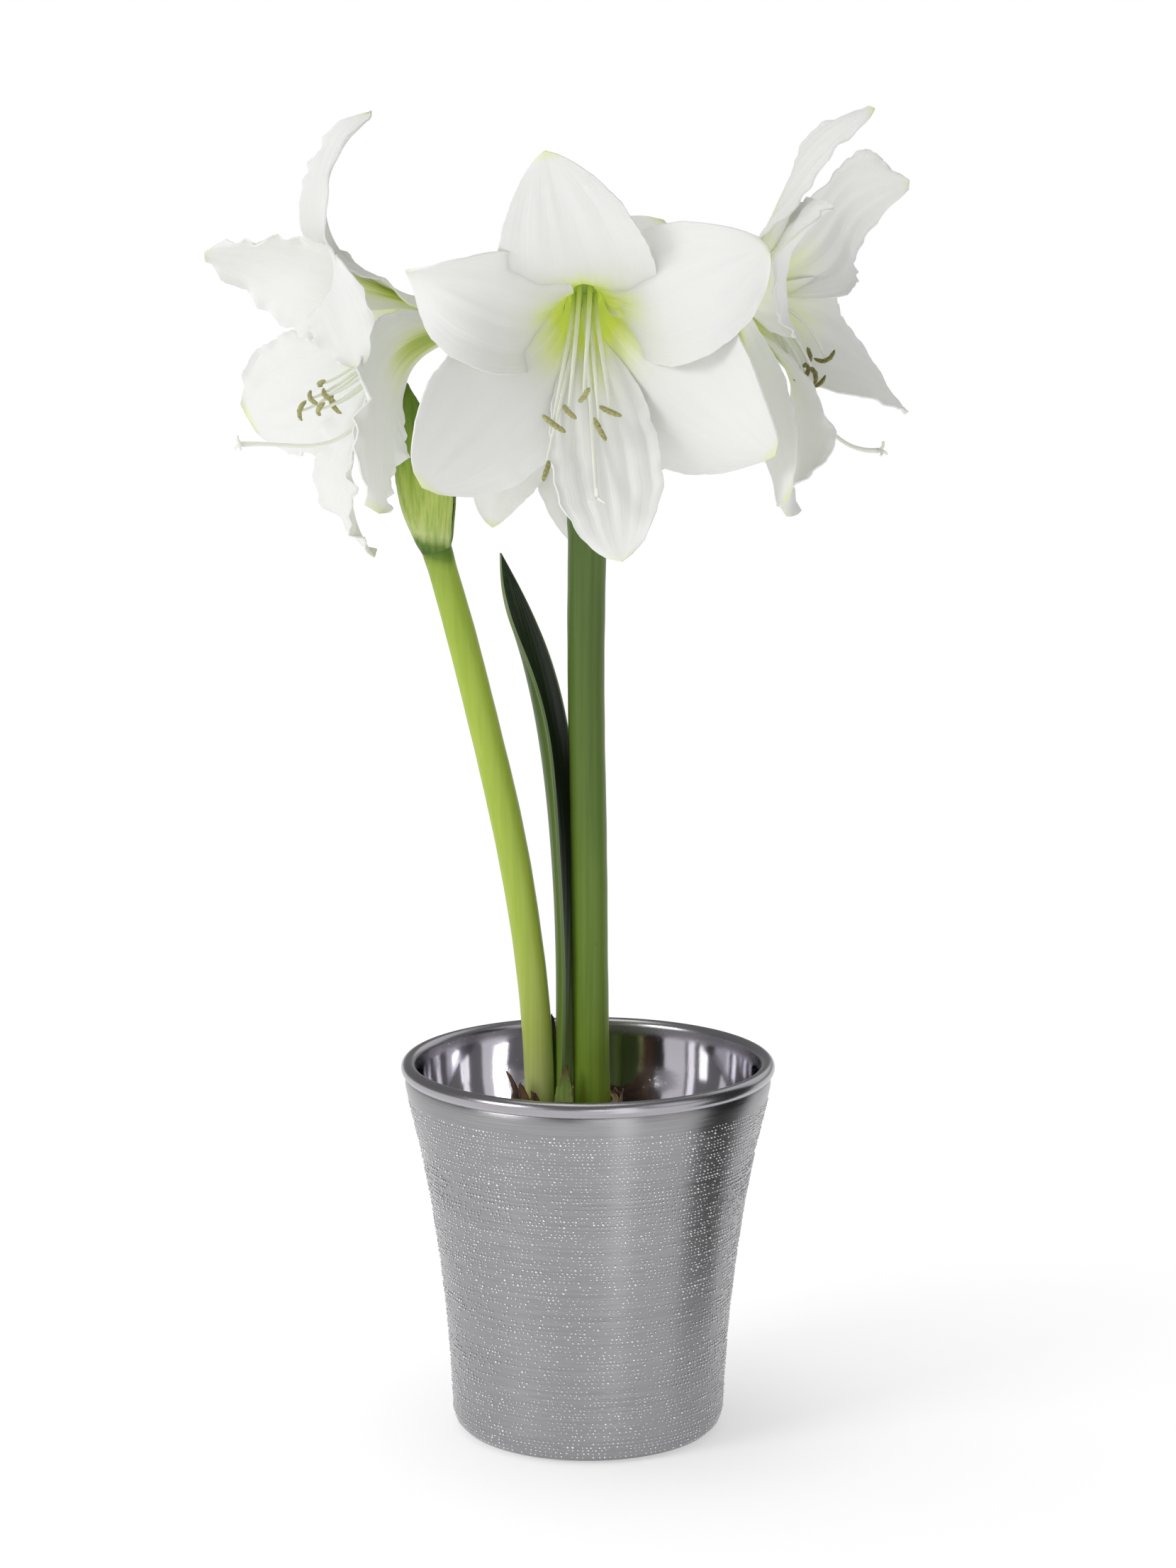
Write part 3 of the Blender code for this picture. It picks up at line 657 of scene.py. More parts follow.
def bezier(a: Row, b: Row, c: Row, d: Row, count: int) -> np.ndarray:
    """Points along a curve that sets out from its first point towards the second.

    Args:
        a: where it starts.
        b: what it sets out towards.
        c: what it comes in from.
        d: where it ends.
        count: how many points to read.

    Returns:
        The points.
    """
    t = np.linspace(0, 1, count)[:, None]
    a, b, c, d = (np.asarray(v, float) for v in (a, b, c, d))
    return a * (1 - t) ** 3 + 3 * b * t * (1 - t) ** 2 + 3 * c * t * t * (1 - t) + d * t**3


def waver(x: np.ndarray, seed: int, tones: Row = (1.0, 2.3, 4.1)) -> np.ndarray:
    """Smooth irregular waves of about unit height.

    Args:
        x: where to read them.
        seed: which waves.
        tones: how many there are a unit, slow to quick.

    Returns:
        Their height at each place.
    """
    chance = np.random.default_rng(seed)
    total = np.zeros_like(np.asarray(x, float))
    for tone in tones:
        total += np.sin(2 * pi * (tone * x + chance.random())) * chance.uniform(0.6, 1.0)
    return total / len(tones) * 1.4


def unit(vectors: np.ndarray) -> np.ndarray:
    """One vector or many, each at length 1."""
    return vectors / np.linalg.norm(vectors, axis=-1, keepdims=True)


def reach_along(path: np.ndarray) -> np.ndarray:
    """How far each point of a path is from its start, along it."""
    return np.concatenate(((0,), np.cumsum(np.linalg.norm(np.diff(path, axis=0), axis=1))))


def nearest(points: np.ndarray, path: np.ndarray) -> np.ndarray:
    """The number of the path's point that lies nearest to each point."""
    return np.linalg.norm(points[:, None] - path[None], axis=2).argmin(1)


def fresh(name: str) -> bpy.types.Object:
    """Name the primitive that was just added.

    Args:
        name: its name, and its mesh's.

    Returns:
        The object.
    """
    made = bpy.context.object
    made.name = name
    made.data.name = name
    return made


def deselect() -> None:
    """Leave nothing selected, in object mode."""
    if bpy.context.object and bpy.context.object.mode != "OBJECT":
        bpy.ops.object.mode_set(mode="OBJECT")
    bpy.ops.object.select_all(action="DESELECT")


def only(thing: bpy.types.Object) -> None:
    """Select one object alone and make it the active one.

    Args:
        thing: the object.
    """
    deselect()
    thing.select_set(True)
    bpy.context.view_layer.objects.active = thing


def joined(name: str, things: Sequence[bpy.types.Object]) -> bpy.types.Object:
    """Make several objects one.

    Args:
        name: what the one is called.
        things: the objects.

    Returns:
        The one object.
    """
    only(things[0])
    for thing in things:
        thing.select_set(True)
    bpy.ops.object.join()
    return fresh(name)


def hold(thing: bpy.types.Object, name: str, values: np.ndarray) -> None:
    """Write a number for each point of a mesh.

    Args:
        thing: the object.
        name: the attribute's name.
        values: its numbers, in the order of the points.
    """
    kept = thing.data.attributes.get(name) or thing.data.attributes.new(name, "FLOAT", "POINT")
    kept.data.foreach_set("value", np.ascontiguousarray(values, np.float32).reshape(-1))


def gather(items: Sequence, key: str, width: int = 1, kind: type = np.float32) -> np.ndarray:
    """Read one property of every item of a mesh's list.

    Args:
        items: the list, such as its points or loops.
        key: the property.
        width: how many numbers it has.
        kind: what they are.

    Returns:
        The numbers, a row for each item where they have several.
    """
    out = np.empty(len(items) * width, kind)
    items.foreach_get(key, out)
    return out if width == 1 else out.reshape(-1, width)


def read(thing: bpy.types.Object, name: str) -> np.ndarray:
    """The numbers that a mesh holds at its points."""
    return gather(thing.data.attributes[name].data, "value")


def corners(thing: bpy.types.Object) -> np.ndarray:
    """The points of a mesh, in millimetres."""
    return gather(thing.data.vertices, "co", 3).astype(float) / MM


def move(thing: bpy.types.Object, points: np.ndarray) -> None:
    """Put the points of a mesh at places given in millimetres."""
    thing.data.vertices.foreach_set("co", np.ascontiguousarray(points * MM, np.float32).reshape(-1))
    thing.data.update()


def grid(name: str, rows: int, columns: int) -> tuple[bpy.types.Object, np.ndarray, np.ndarray]:
    """Add a flat grid that is still to be shaped.

    Args:
        name: the object's name.
        rows: how many faces it has one way.
        columns: how many it has the other way.

    Returns:
        The grid, and the row and the column of each of its points.
    """
    deselect()
    bpy.ops.mesh.primitive_grid_add(x_subdivisions=rows, y_subdivisions=columns, size=1, calc_uvs=False)
    made = fresh(name)
    flat = corners(made) * MM + 0.5
    return made, np.rint(flat[:, 0] * rows).astype(int), np.rint(flat[:, 1] * columns).astype(int)


def weld() -> None:
    """Merge the active mesh's doubles and face it outwards."""
    bpy.ops.object.mode_set(mode="EDIT")
    bpy.ops.mesh.select_all(action="SELECT")
    bpy.ops.mesh.remove_doubles(threshold=0.00001)
    bpy.ops.mesh.normals_make_consistent(inside=False)
    bpy.ops.object.mode_set(mode="OBJECT")


def thicken(thing: bpy.types.Object, thick: float) -> None:
    """Give a sheet its thickness, half of it on either side.

    Args:
        thing: the sheet, which is the active object.
        thick: how thick it gets, in millimetres.
    """
    solid = thing.modifiers.new("thickness", "SOLIDIFY")
    solid.thickness = thick * MM
    solid.offset = 0
    bpy.ops.object.modifier_apply(modifier=solid.name)


def blade(name: str, points: np.ndarray, inward: np.ndarray, thick: float) -> bpy.types.Object:
    """A thin closed blade, shaped from a grid whose last row ends in one point.

    Args:
        name: the object's name.
        points: its middle surface, rows by columns, in millimetres.
        inward: the way its hollow side faces at each row.
        thick: its thickness.

    Returns:
        The blade, which holds "along", "across" (from -1 to 1) and "inside" (1 on its hollow side).
    """
    rows, columns = points.shape[0] - 1, points.shape[1] - 1
    made, i, j = grid(name, rows, columns)
    shaped = points.copy()
    shaped[rows] = points[rows, columns // 2]
    move(made, shaped[i, j])
    uv = made.data.uv_layers.new(name="blade")
    loops = gather(made.data.loops, "vertex_index", kind=np.int32)
    uv.data.foreach_set("uv", np.stack((j / columns, i / rows), 1)[loops].astype(np.float32).reshape(-1))
    hold(made, "along", i / rows)
    hold(made, "across", j / columns * 2 - 1)
    kept = made.data.attributes.new("inward", "FLOAT_VECTOR", "POINT")
    kept.data.foreach_set("vector", np.ascontiguousarray(inward[i], np.float32).reshape(-1))
    weld()
    thicken(made, thick)
    facing = gather(made.data.vertices, "normal", 3)
    kept = made.data.attributes["inward"]
    hold(made, "inside", ((facing * gather(kept.data, "vector", 3)).sum(1) > 0).astype(float))
    made.data.attributes.remove(made.data.attributes["inward"])
    bpy.ops.object.shade_smooth_by_angle(angle=radians(60))
    return made


def tube(name: str, path: np.ndarray, radii: Row, sides: int) -> bpy.types.Object:
    """A round stem along a path, closed at both ends.

    Args:
        name: the object's name.
        path: its centre line.
        radii: its radius at each point of the path.
        sides: the curve's bevel resolution.

    Returns:
        The stem as a mesh.
    """
    deselect()
    bpy.ops.curve.primitive_nurbs_path_add()
    made = fresh(name)
    line = made.data
    line.splines.clear()
    line.bevel_depth = MM
    line.bevel_resolution = sides
    line.use_fill_caps = True
    run = line.splines.new("POLY")
    run.points.add(len(path) - 1)
    for point, co, radius in zip(run.points, path, radii):
        point.co = (*(float(v) * MM for v in co), 1)
        point.radius = float(radius)
    only(made)
    bpy.ops.object.convert(target="MESH")
    made = fresh(name)
    weld()
    bpy.ops.object.shade_smooth_by_angle(angle=radians(50))
    return made


def turned(name: str, profile: Sequence[tuple[float, float]], sides: int) -> bpy.types.Object:
    """A body of revolution, raised ring by ring from a filled circle.

    Args:
        name: the object's name.
        profile: radius and height of each ring, from the underside round to the last cap.
        sides: how many sides it has.

    Returns:
        The closed body, about the Z axis.
    """
    deselect()
    radius, height = profile[0]
    bpy.ops.mesh.primitive_circle_add(
        vertices=sides, radius=radius * MM, fill_type="NGON", location=(0, 0, 0)
    )
    made = fresh(name)
    bpy.ops.object.mode_set(mode="EDIT")
    bpy.ops.mesh.select_all(action="SELECT")
    bpy.ops.transform.translate(value=(0, 0, height * MM))
    for wide, tall in profile[1:]:
        rise = {"value": (0, 0, (tall - height) * MM)}
        bpy.ops.mesh.extrude_region_move(TRANSFORM_OT_translate=rise)
        scale = wide / radius
        bpy.ops.transform.resize(value=(scale, scale, 1), center_override=(0, 0, tall * MM))
        radius, height = wide, tall
    bpy.ops.mesh.select_all(action="SELECT")
    bpy.ops.mesh.normals_make_consistent(inside=False)
    bpy.ops.object.mode_set(mode="OBJECT")
    bpy.ops.object.shade_smooth_by_angle(angle=radians(40))
    return made


def scattered(name: str, places: np.ndarray, sizes: np.ndarray, turns: np.ndarray) -> bpy.types.Object:
    """One small many-sided grain, modelled once and set down at many places.

    Args:
        name: the object's name.
        places: where each stands.
        sizes: how far each reaches along its own three ways.
        turns: a turning matrix for each.

    Returns:
        All the grains in one mesh.
    """
    deselect()
    bpy.ops.mesh.primitive_ico_sphere_add(subdivisions=1, radius=1)
    made = fresh(name)
    grain = corners(made) * MM
    faces = gather(made.data.loops, "vertex_index", kind=np.int32)
    points = np.einsum("nij,nvj->nvi", turns, grain[None] * sizes[:, None]) + places[:, None]
    every = faces[None] + np.arange(len(places))[:, None] * len(grain)
    mesh = bpy.data.meshes.new(name)
    mesh.from_pydata((points.reshape(-1, 3) * MM).tolist(), [], every.reshape(-1, 3).tolist())
    old = made.data
    made.data = mesh
    bpy.data.meshes.remove(old)
    only(made)
    bpy.ops.object.shade_smooth()
    return made


def random_turns(chance: np.random.Generator, count: int) -> np.ndarray:
    """Turn each of many grains its own way.

    Args:
        chance: where the draws come from.
        count: how many grains there are.

    Returns:
        A turning matrix for each.
    """
    frames, _ = np.linalg.qr(chance.normal(size=(count, 3, 3)))
    frames[np.linalg.det(frames) < 0] *= -1
    return frames


def dress(thing: bpy.types.Object, *skins: Skin) -> bpy.types.Object:
    """Give an object its finishes.

    Args:
        thing: the object.
        skins: the finishes, in the order of its slots.

    Returns:
        The object.
    """
    thing.data.materials.clear()
    for skin in skins:
        thing.data.materials.append(skin.material())
    return thing


def hand_over(thing: bpy.types.Object, slot: str, *nodes: str) -> bpy.types.Object:
    """Let a finished piece ride on the object in place of its solids.

    Args:
        thing: the piece.
        slot: the record's material slot; not used.
        nodes: the solids that it stands for.

    Returns:
        The piece.
    """
    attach(thing, "root")
    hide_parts(*nodes)
    LOG.info("%s: %d faces, stands for %s", thing.name, len(thing.data.polygons), ", ".join(nodes))
    return thing


@dataclass
class Pot:
    """The flared pot: a brushed wall with beads, a rounded satin lip and a mirror inside.

    outside and inside give the wall's radius at each height. The lip is rounded by its own radius,
    and its smooth glaze starts at a small step. Beads stand in rows, each bead and each row at a
    gap drawn between two bounds.
    """

    rim: float = 80.0
    height: float = 161.7
    lip: float = 3.15
    glossy_from: float = 155.2
    sides: int = 176
    outside: tuple[tuple[float, float], ...] = (
        (51.5, 0.0), (55.2, 1.2), (57.5, 3.8), (58.5, 8.0), (59.25, 25.0), (61.1, 50.0),
        (63.9, 75.0), (67.5, 100.0), (72.2, 125.0), (76.9, 145.0),
    )
    inside: tuple[tuple[float, float], ...] = (
        (72.4, 145.0), (67.7, 125.0), (63.0, 100.0), (59.4, 75.0), (56.6, 50.0), (54.2, 9.5), (50.0, 6.0),
    )
    step: float = 0.18
    rings_out: int = 30
    rings_in: int = 26
    first_row: float = 3.2
    row_gap: tuple[float, float] = (1.15, 2.0)
    bead_gap: tuple[float, float] = (1.7, 2.3)
    bead_size: tuple[float, float] = (0.27, 0.47)

    def outer_radius(self, level: Union[float, np.ndarray]) -> np.ndarray:
        """The outer wall's radius at a height."""
        return np.interp(level, [ring[1] for ring in self.outside], [ring[0] for ring in self.outside])

    def wall(self, points: Sequence[tuple[float, float]], count: int) -> np.ndarray:
        """Run rings smoothly through some points of the wall.

        Args:
            points: radius and height of each.
            count: how many rings to make.

        Returns:
            Radius and height of each ring.
        """
        points = np.array(points)
        reach = reach_along(points)
        return spline(reach, points, np.linspace(0, reach[-1], count))

    def profile(self) -> list[tuple[float, float]]:
        """Ring up the outside, over the lip and down the inside.

        Returns:
            Radius and height of each ring, from the underside on.
        """
        centre = (self.rim - self.lip, self.height - self.lip)
        turns = np.radians(np.linspace(-38, 180, 17))
        lip = [(centre[0] + self.lip * cos(a), centre[1] + self.lip * sin(a)) for a in turns]
        outer = self.wall((*self.outside[3:], lip[0]), self.rings_out)[1:-1]
        inner = self.wall((lip[-1], *self.inside), self.rings_in)[1:]
        return [*self.outside[:4], *self.lip_edge(outer), *lip, *map(tuple, inner)]

    def lip_edge(self, outer: np.ndarray) -> list[tuple[float, float]]:
        """Put in a small step where the glossy band starts.

        Args:
            outer: the rings of the outer wall.

        Returns:
            The rings with the step's two among them.
        """
        radius = float(np.interp(self.glossy_from, outer[:, 1], outer[:, 0]))
        below = [tuple(ring) for ring in outer if ring[1] < self.glossy_from - 0.8]
        above = [tuple(ring) for ring in outer if ring[1] > self.glossy_from + 0.8]
        return [*below, (radius, self.glossy_from - 0.35), (radius - self.step, self.glossy_from), *above]

    def body(self) -> bpy.types.Object:
        """Turn the pot, with the brushed skin below the band and the glossy one elsewhere.

        Returns:
            The pot.
        """
        made = turned("pot_body", self.profile(), self.sides)
        dress(made, Skin.BRUSHED, Skin.MIRROR)
        for face in made.data.polygons:
            centre = face.center / MM
            outer = centre.xy.length > self.outer_radius(centre.z) - 2.2 or centre.z < 0.5
            face.material_index = 0 if outer and centre.z < self.glossy_from - 0.1 else 1
        return made

    def drop_places(self, chance: np.random.Generator) -> np.ndarray:
        """Set out the beads in level, broken rows that are fullest at the front right and the top.

        Args:
            chance: where the draws come from.

        Returns:
            The turn and the height of each bead.
        """
        rows = []
        level = self.first_row
        while level < self.glossy_from - 0.9:
            radius = float(self.outer_radius(level))
            turn = np.arange(0, 2 * pi, chance.uniform(*self.bead_gap) / radius)
            turn = turn + chance.uniform(0, 1) + chance.normal(0, 0.16 / radius, len(turn))
            fill = 0.62 + 0.42 * waver(turn / (2 * pi), int(level * 100), (7.0, 17.0, 31.0))
            fill = fill * (0.85 + 0.35 * (level / 150) ** 3 + 0.4 * (level < 12) + 0.25 * np.cos(turn + 0.5))
            kept = turn[chance.random(len(turn)) < fill]
            rows.append(np.stack((kept, level + chance.normal(0, 0.07, len(kept))), 1))
            level += chance.uniform(*self.row_gap)
        return np.concatenate(rows)

    def drops(self) -> None:
        """Set the beads of glaze on the outer wall, as two pieces: the lower ones and the upper ones."""
        chance = np.random.default_rng(41)
        turn, level = self.drop_places(chance).T
        count = len(turn)
        size = chance.uniform(*self.bead_size, count) * (1 + 0.4 * (chance.random(count) > 0.88))
        out = np.stack((np.cos(turn), np.sin(turn)), 1)
        places = np.column_stack((out * (self.outer_radius(level) + 0.1)[:, None], level))
        sizes = np.stack((size * 0.9, size, size * 0.9), 1)
        turns = np.zeros((count, 3, 3))
        turns[:, 0, 0] = turns[:, 1, 1] = out[:, 0]
        turns[:, 1, 0] = out[:, 1]
        turns[:, 0, 1] = -out[:, 1]
        turns[:, 2, 2] = 1
        low = level < np.median(level)
        for name, kept in (("pot_beads_low", low), ("pot_beads_high", ~low)):
            beads = scattered(name, places[kept], sizes[kept], turns[kept])
            hand_over(dress(beads, Skin.BEADS), "pot", "pot")

    def build(self) -> None:
        """The pot and its beads."""
        hand_over(self.body(), "pot", "pot")
        self.drops()


@dataclass
class Bulb:
    """The bulb, its soil and the torn papery skin round its neck.

    side gives the bulb's radius at each height, and soil_side the soil's. flaps gives each torn point
    of the skin: its bearing in degrees, its top and how many degrees it spreads.
    """

    x: float = -9.0
    neck: float = 22.4
    neck_top: float = 144.5
    well: float = 19.7
    well_floor: float = 137.0
    soil_top: float = 116.0
    side: tuple[tuple[float, float], ...] = (
        (15.0, 58.0), (29.0, 65.0), (38.5, 76.0), (42.0, 92.0), (38.5, 107.0), (31.0, 119.0),
        (25.0, 127.5), (22.4, 132.0), (22.4, 143.0),
    )
    soil_side: tuple[tuple[float, float], ...] = (
        (50.0, 6.3), (53.9, 9.8), (56.3, 50.0), (59.1, 75.0), (62.7, 100.0), (65.4, 113.0), (65.6, 115.0),
    )
    crumb_count: int = 2600
    skin_foot: float = 130.0
    skin_top: float = 144.6
    skin_thick: float = 0.55
    flaps: tuple[tuple[float, float, float], ...] = (
        (208, 158.5, 9), (222, 155.0, 8), (236, 152.5, 8), (352, 149.0, 9), (100, 151, 15),
    )

    def flesh(self) -> bpy.types.Object:
        """Turn the bulb with its neck of stacked scales, open at the top.

        Returns:
            The bulb.
        """
        reach = np.linspace(0, 1, len(self.side))
        side = spline(reach, self.side, np.linspace(0, 1, 44))
        top = [(self.neck - 0.2, 143.9), (self.neck - 0.9, self.neck_top), (21.0, 143.4), (20.5, 144.2)]
        top += [(self.well, 143.6), (self.well, 140.0)]
        top += [(self.well, self.well_floor + 0.2), (19.0, self.well_floor)]
        made = turned("bulb_flesh", [*map(tuple, side), *top], 96)
        points = corners(made)
        angle = np.arctan2(points[:, 1], points[:, 0])
        far = np.hypot(points[:, 0], points[:, 1])
        rib = 0.25 * np.sin(angle * 23 + 0.4 * np.sin(points[:, 2] * 0.2))
        rib = rib + 0.35 * waver(angle / (2 * pi), 3, (2, 5, 9))
        rib = rib * smooth((far - 16) / 6) * (points[:, 2] < 143.5)
        points[:, :2] *= (1 + rib / np.maximum(far, 1))[:, None]
        points[:, 2] += 0.5 * waver(angle / (2 * pi), 9, (3, 7, 13)) * (points[:, 2] > 143.2)
        points[:, 0] += self.x
        move(made, points)
        return dress(made, Skin.BULB)

    def soil(self) -> bpy.types.Object:
        """Fill the pot up to a lumpy top.

        Returns:
            The soil.
        """
        top = [(float(r), self.soil_top) for r in (64.6, *np.linspace(63, 3, 34))]
        made = turned("soil_body", [*self.soil_side, *top], 120)
        points = corners(made)
        top = points[:, 2] > self.soil_top - 0.2
        far = np.hypot(points[:, 0], points[:, 1])
        lumps = waver(points[:, 0] / 23, 5) * waver(points[:, 1] / 21, 6) * 1.6
        lumps = lumps + waver(points[:, 0] / 7 + points[:, 1] / 9, 8) * 0.7
        points[:, 2] += np.where(top, lumps * smooth((65 - far) / 4) - 0.4, 0)
        move(made, points)
        return dress(made, Skin.SOIL)

    def crumbs(self) -> bpy.types.Object:
        """Scatter loose crumbs and bits of bark on the soil.

        Returns:
            The crumbs.
        """
        chance = np.random.default_rng(19)
        far = np.sqrt(chance.uniform(0, 1, self.crumb_count)) * 63.5
        turn = chance.uniform(0, 2 * pi, self.crumb_count)
        level = np.full(self.crumb_count, self.soil_top + 0.2)
        places = np.stack((far * np.cos(turn), far * np.sin(turn), level), 1)
        clear = np.hypot(places[:, 0] - self.x, places[:, 1]) > 33.5
        places = places[clear]
        size = chance.gamma(3.0, 0.32, len(places)).clip(0.4, 3.2)
        sizes = size[:, None] * chance.uniform(0.55, 1.25, (len(places), 3))
        places[:, 2] += size * 0.25 + chance.uniform(-0.6, 0.9, len(places))
        made = scattered("soil_crumbs", places, sizes, random_turns(chance, len(places)))
        return dress(made, Skin.SOIL)

    def tunic(self) -> bpy.types.Object:
        """Wrap the dry skin, torn into uneven points that curl away from the neck.

        Returns:
            The skin.
        """
        chance = np.random.default_rng(11)
        count, high = 220, 12
        turn = np.arange(count + 1) / count
        tops = self.skin_top + 1.3 * waver(turn * 8, 21) + chance.normal(0, 0.35, count + 1)
        for bearing, top, spread in self.flaps:
            gap = (turn * 360 - bearing + 180) % 360 - 180
            ragged = top + chance.normal(0, 0.5, count + 1)
            tops = np.maximum(tops, 143 + (ragged - 143) * np.clip(1.25 - abs(gap) / spread, 0, 1))
        tops[count] = tops[0]
        level = np.linspace(0, 1, high + 1)[None]
        angle = 2 * pi * turn[:, None]
        height = self.skin_foot + (tops[:, None] - self.skin_foot) * level
        curl = np.maximum(height - 146, 0) ** 1.35 * 0.16
        wrinkle = 0.22 * waver(turn * 17, 31)[:, None] * level
        radius = self.neck + 1.0 + wrinkle + curl + 0.25 * level
        points = np.stack((self.x + radius * np.cos(angle), radius * np.sin(angle), height), -1)
        points[count] = points[0]
        made, i, j = grid("bulb_tunic_skin", count, high)
        move(made, points[i, j])
        weld()
        thicken(made, self.skin_thick)
        bpy.ops.object.shade_smooth_by_angle(angle=radians(50))
        return dress(made, Skin.PAPER)

    def build(self) -> None:
        """Bulb, soil and papery skin."""
        hand_over(self.flesh(), "bulb", "bulb")
        hand_over(self.soil(), "soil", "soil")
        hand_over(self.crumbs(), "soil", "soil")
        hand_over(self.tunic(), "bulb_tunic", "bulb_tunic")


@dataclass
class Scape:
    """One hollow flower stem, from the bulb to the joint under its blooms.

    radii are spaced evenly along it, and joint is how far it swells at its top.
    """

    name: str
    skin: Skin
    points: tuple[Point, ...]
    radii: tuple[float, ...]
    joint: float = 0.0
    rings: int = 90

    def build(self) -> None:
        """The stem, faintly ribbed, swelling at its joint."""
        at = np.linspace(0, 1, self.rings)
        stations = np.linspace(0, 1, len(self.points))
        path = spline(stations, self.points, at)
        radii = spline(stations, self.radii, at)
        radii = radii * (1 + 0.012 * waver(at * 3, 5))
        radii = radii + self.joint * np.exp(-(((at - 0.985) / 0.02) ** 2))
        made = tube(self.name + "_stem", path, radii, 9)
        points = corners(made)
        near = np.abs(points[:, None, 2] - path[None, :, 2]).argmin(1)
        out = points - path[near]
        out[:, 2] = 0
        far = np.linalg.norm(out, axis=1)
        turn = np.arctan2(out[:, 1], out[:, 0])
        rib = 0.10 * np.sin(turn * 9) + 0.16 * waver(turn / (2 * pi), 4, (1, 2, 3))
        points += out / np.maximum(far, 1)[:, None] * (rib * (far > 3))[:, None]
        move(made, points)
        hand_over(dress(made, self.skin), self.name, self.name)


@dataclass
class Strap:
    """A leaf or a spathe valve: a blade along a keel, hollow on one side.

    At each point of the keel, half is half its width, curl is how tightly it is rolled (one over the
    radius) and faces is the bearing of its hollow side in degrees. ragged and wave roughen its
    outline and its surface, and waist is the share of its width that is missing at its foot.
    """

    node: str
    skin: Skin
    slot: str
    keel: tuple[Point, ...]
    half: tuple[float, ...]
    curl: tuple[float, ...]
    faces: tuple[float, ...]
    thick: float
    rows: int = 70
    columns: int = 28
    ragged: float = 0.0
    wave: float = 0.0
    waist: float = 0.0

    def surface(self) -> tuple[np.ndarray, np.ndarray]:
        """Lay out the blade's middle surface.

        Returns:
            The surface, rows by columns, and the way its hollow side faces at each row.
        """
        at = np.linspace(0, 1, self.rows + 1)
        stations = np.linspace(0, 1, len(self.keel))
        keel = spline(stations, self.keel, at)
        along = unit(np.gradient(keel, axis=0))
        half = np.maximum(spline(stations, self.half, at), 0)
        half = half * (1 + self.ragged * waver(at * 6, 17)) * (1 - self.waist * smooth((0.07 - at) / 0.07))
        half = half[:, None]
        curl = spline(stations, self.curl, at)[:, None]
        faces = np.radians(spline(stations, self.faces, at))
        inward = np.stack((np.cos(faces), np.sin(faces), np.zeros_like(faces)), 1)
        across = unit(np.cross(along, inward))
        inward = np.cross(across, along)
        t = np.linspace(-1, 1, self.columns + 1)[None]
        wide = np.sin(curl * half * t) / curl
        lift = (1 - np.cos(curl * half * t)) / curl
        lift = lift - 0.35 * np.exp(-((t / 0.1) ** 2)) * smooth(half / 4)
        lift = lift + 0.08 * np.sin(t * 34) * smooth(half / 4)
        edge = smooth((at - 0.15) / 0.3)[:, None]
        lift = lift + self.wave * edge * abs(t) ** 3 * waver(at[:, None] * 4 + (t > 0) * 0.37, 23)
        points = keel[:, None] + wide[..., None] * across[:, None] + lift[..., None] * inward[:, None]
        return points, inward

    def build(self) -> None:
        """The blade, with a pale line held along its margins."""
        points, inward = self.surface()
        made = blade(self.node + "_blade", points, inward, self.thick)
        hold(made, "margin", smooth((abs(read(made, "across")) - 0.93) / 0.06) * 0.8)
        hand_over(dress(made, self.skin), self.slot, self.node)


INNER_RING = (60, -60, 180)
BENDS_AT = (0, 0.3, 0.6, 1)


def free_edge(along: np.ndarray) -> np.ndarray:
    """How freely a petal's edge waves: not at all in the tube, fully from two thirds up."""
    return np.clip((along - 0.3) / 0.35, 0, 1)


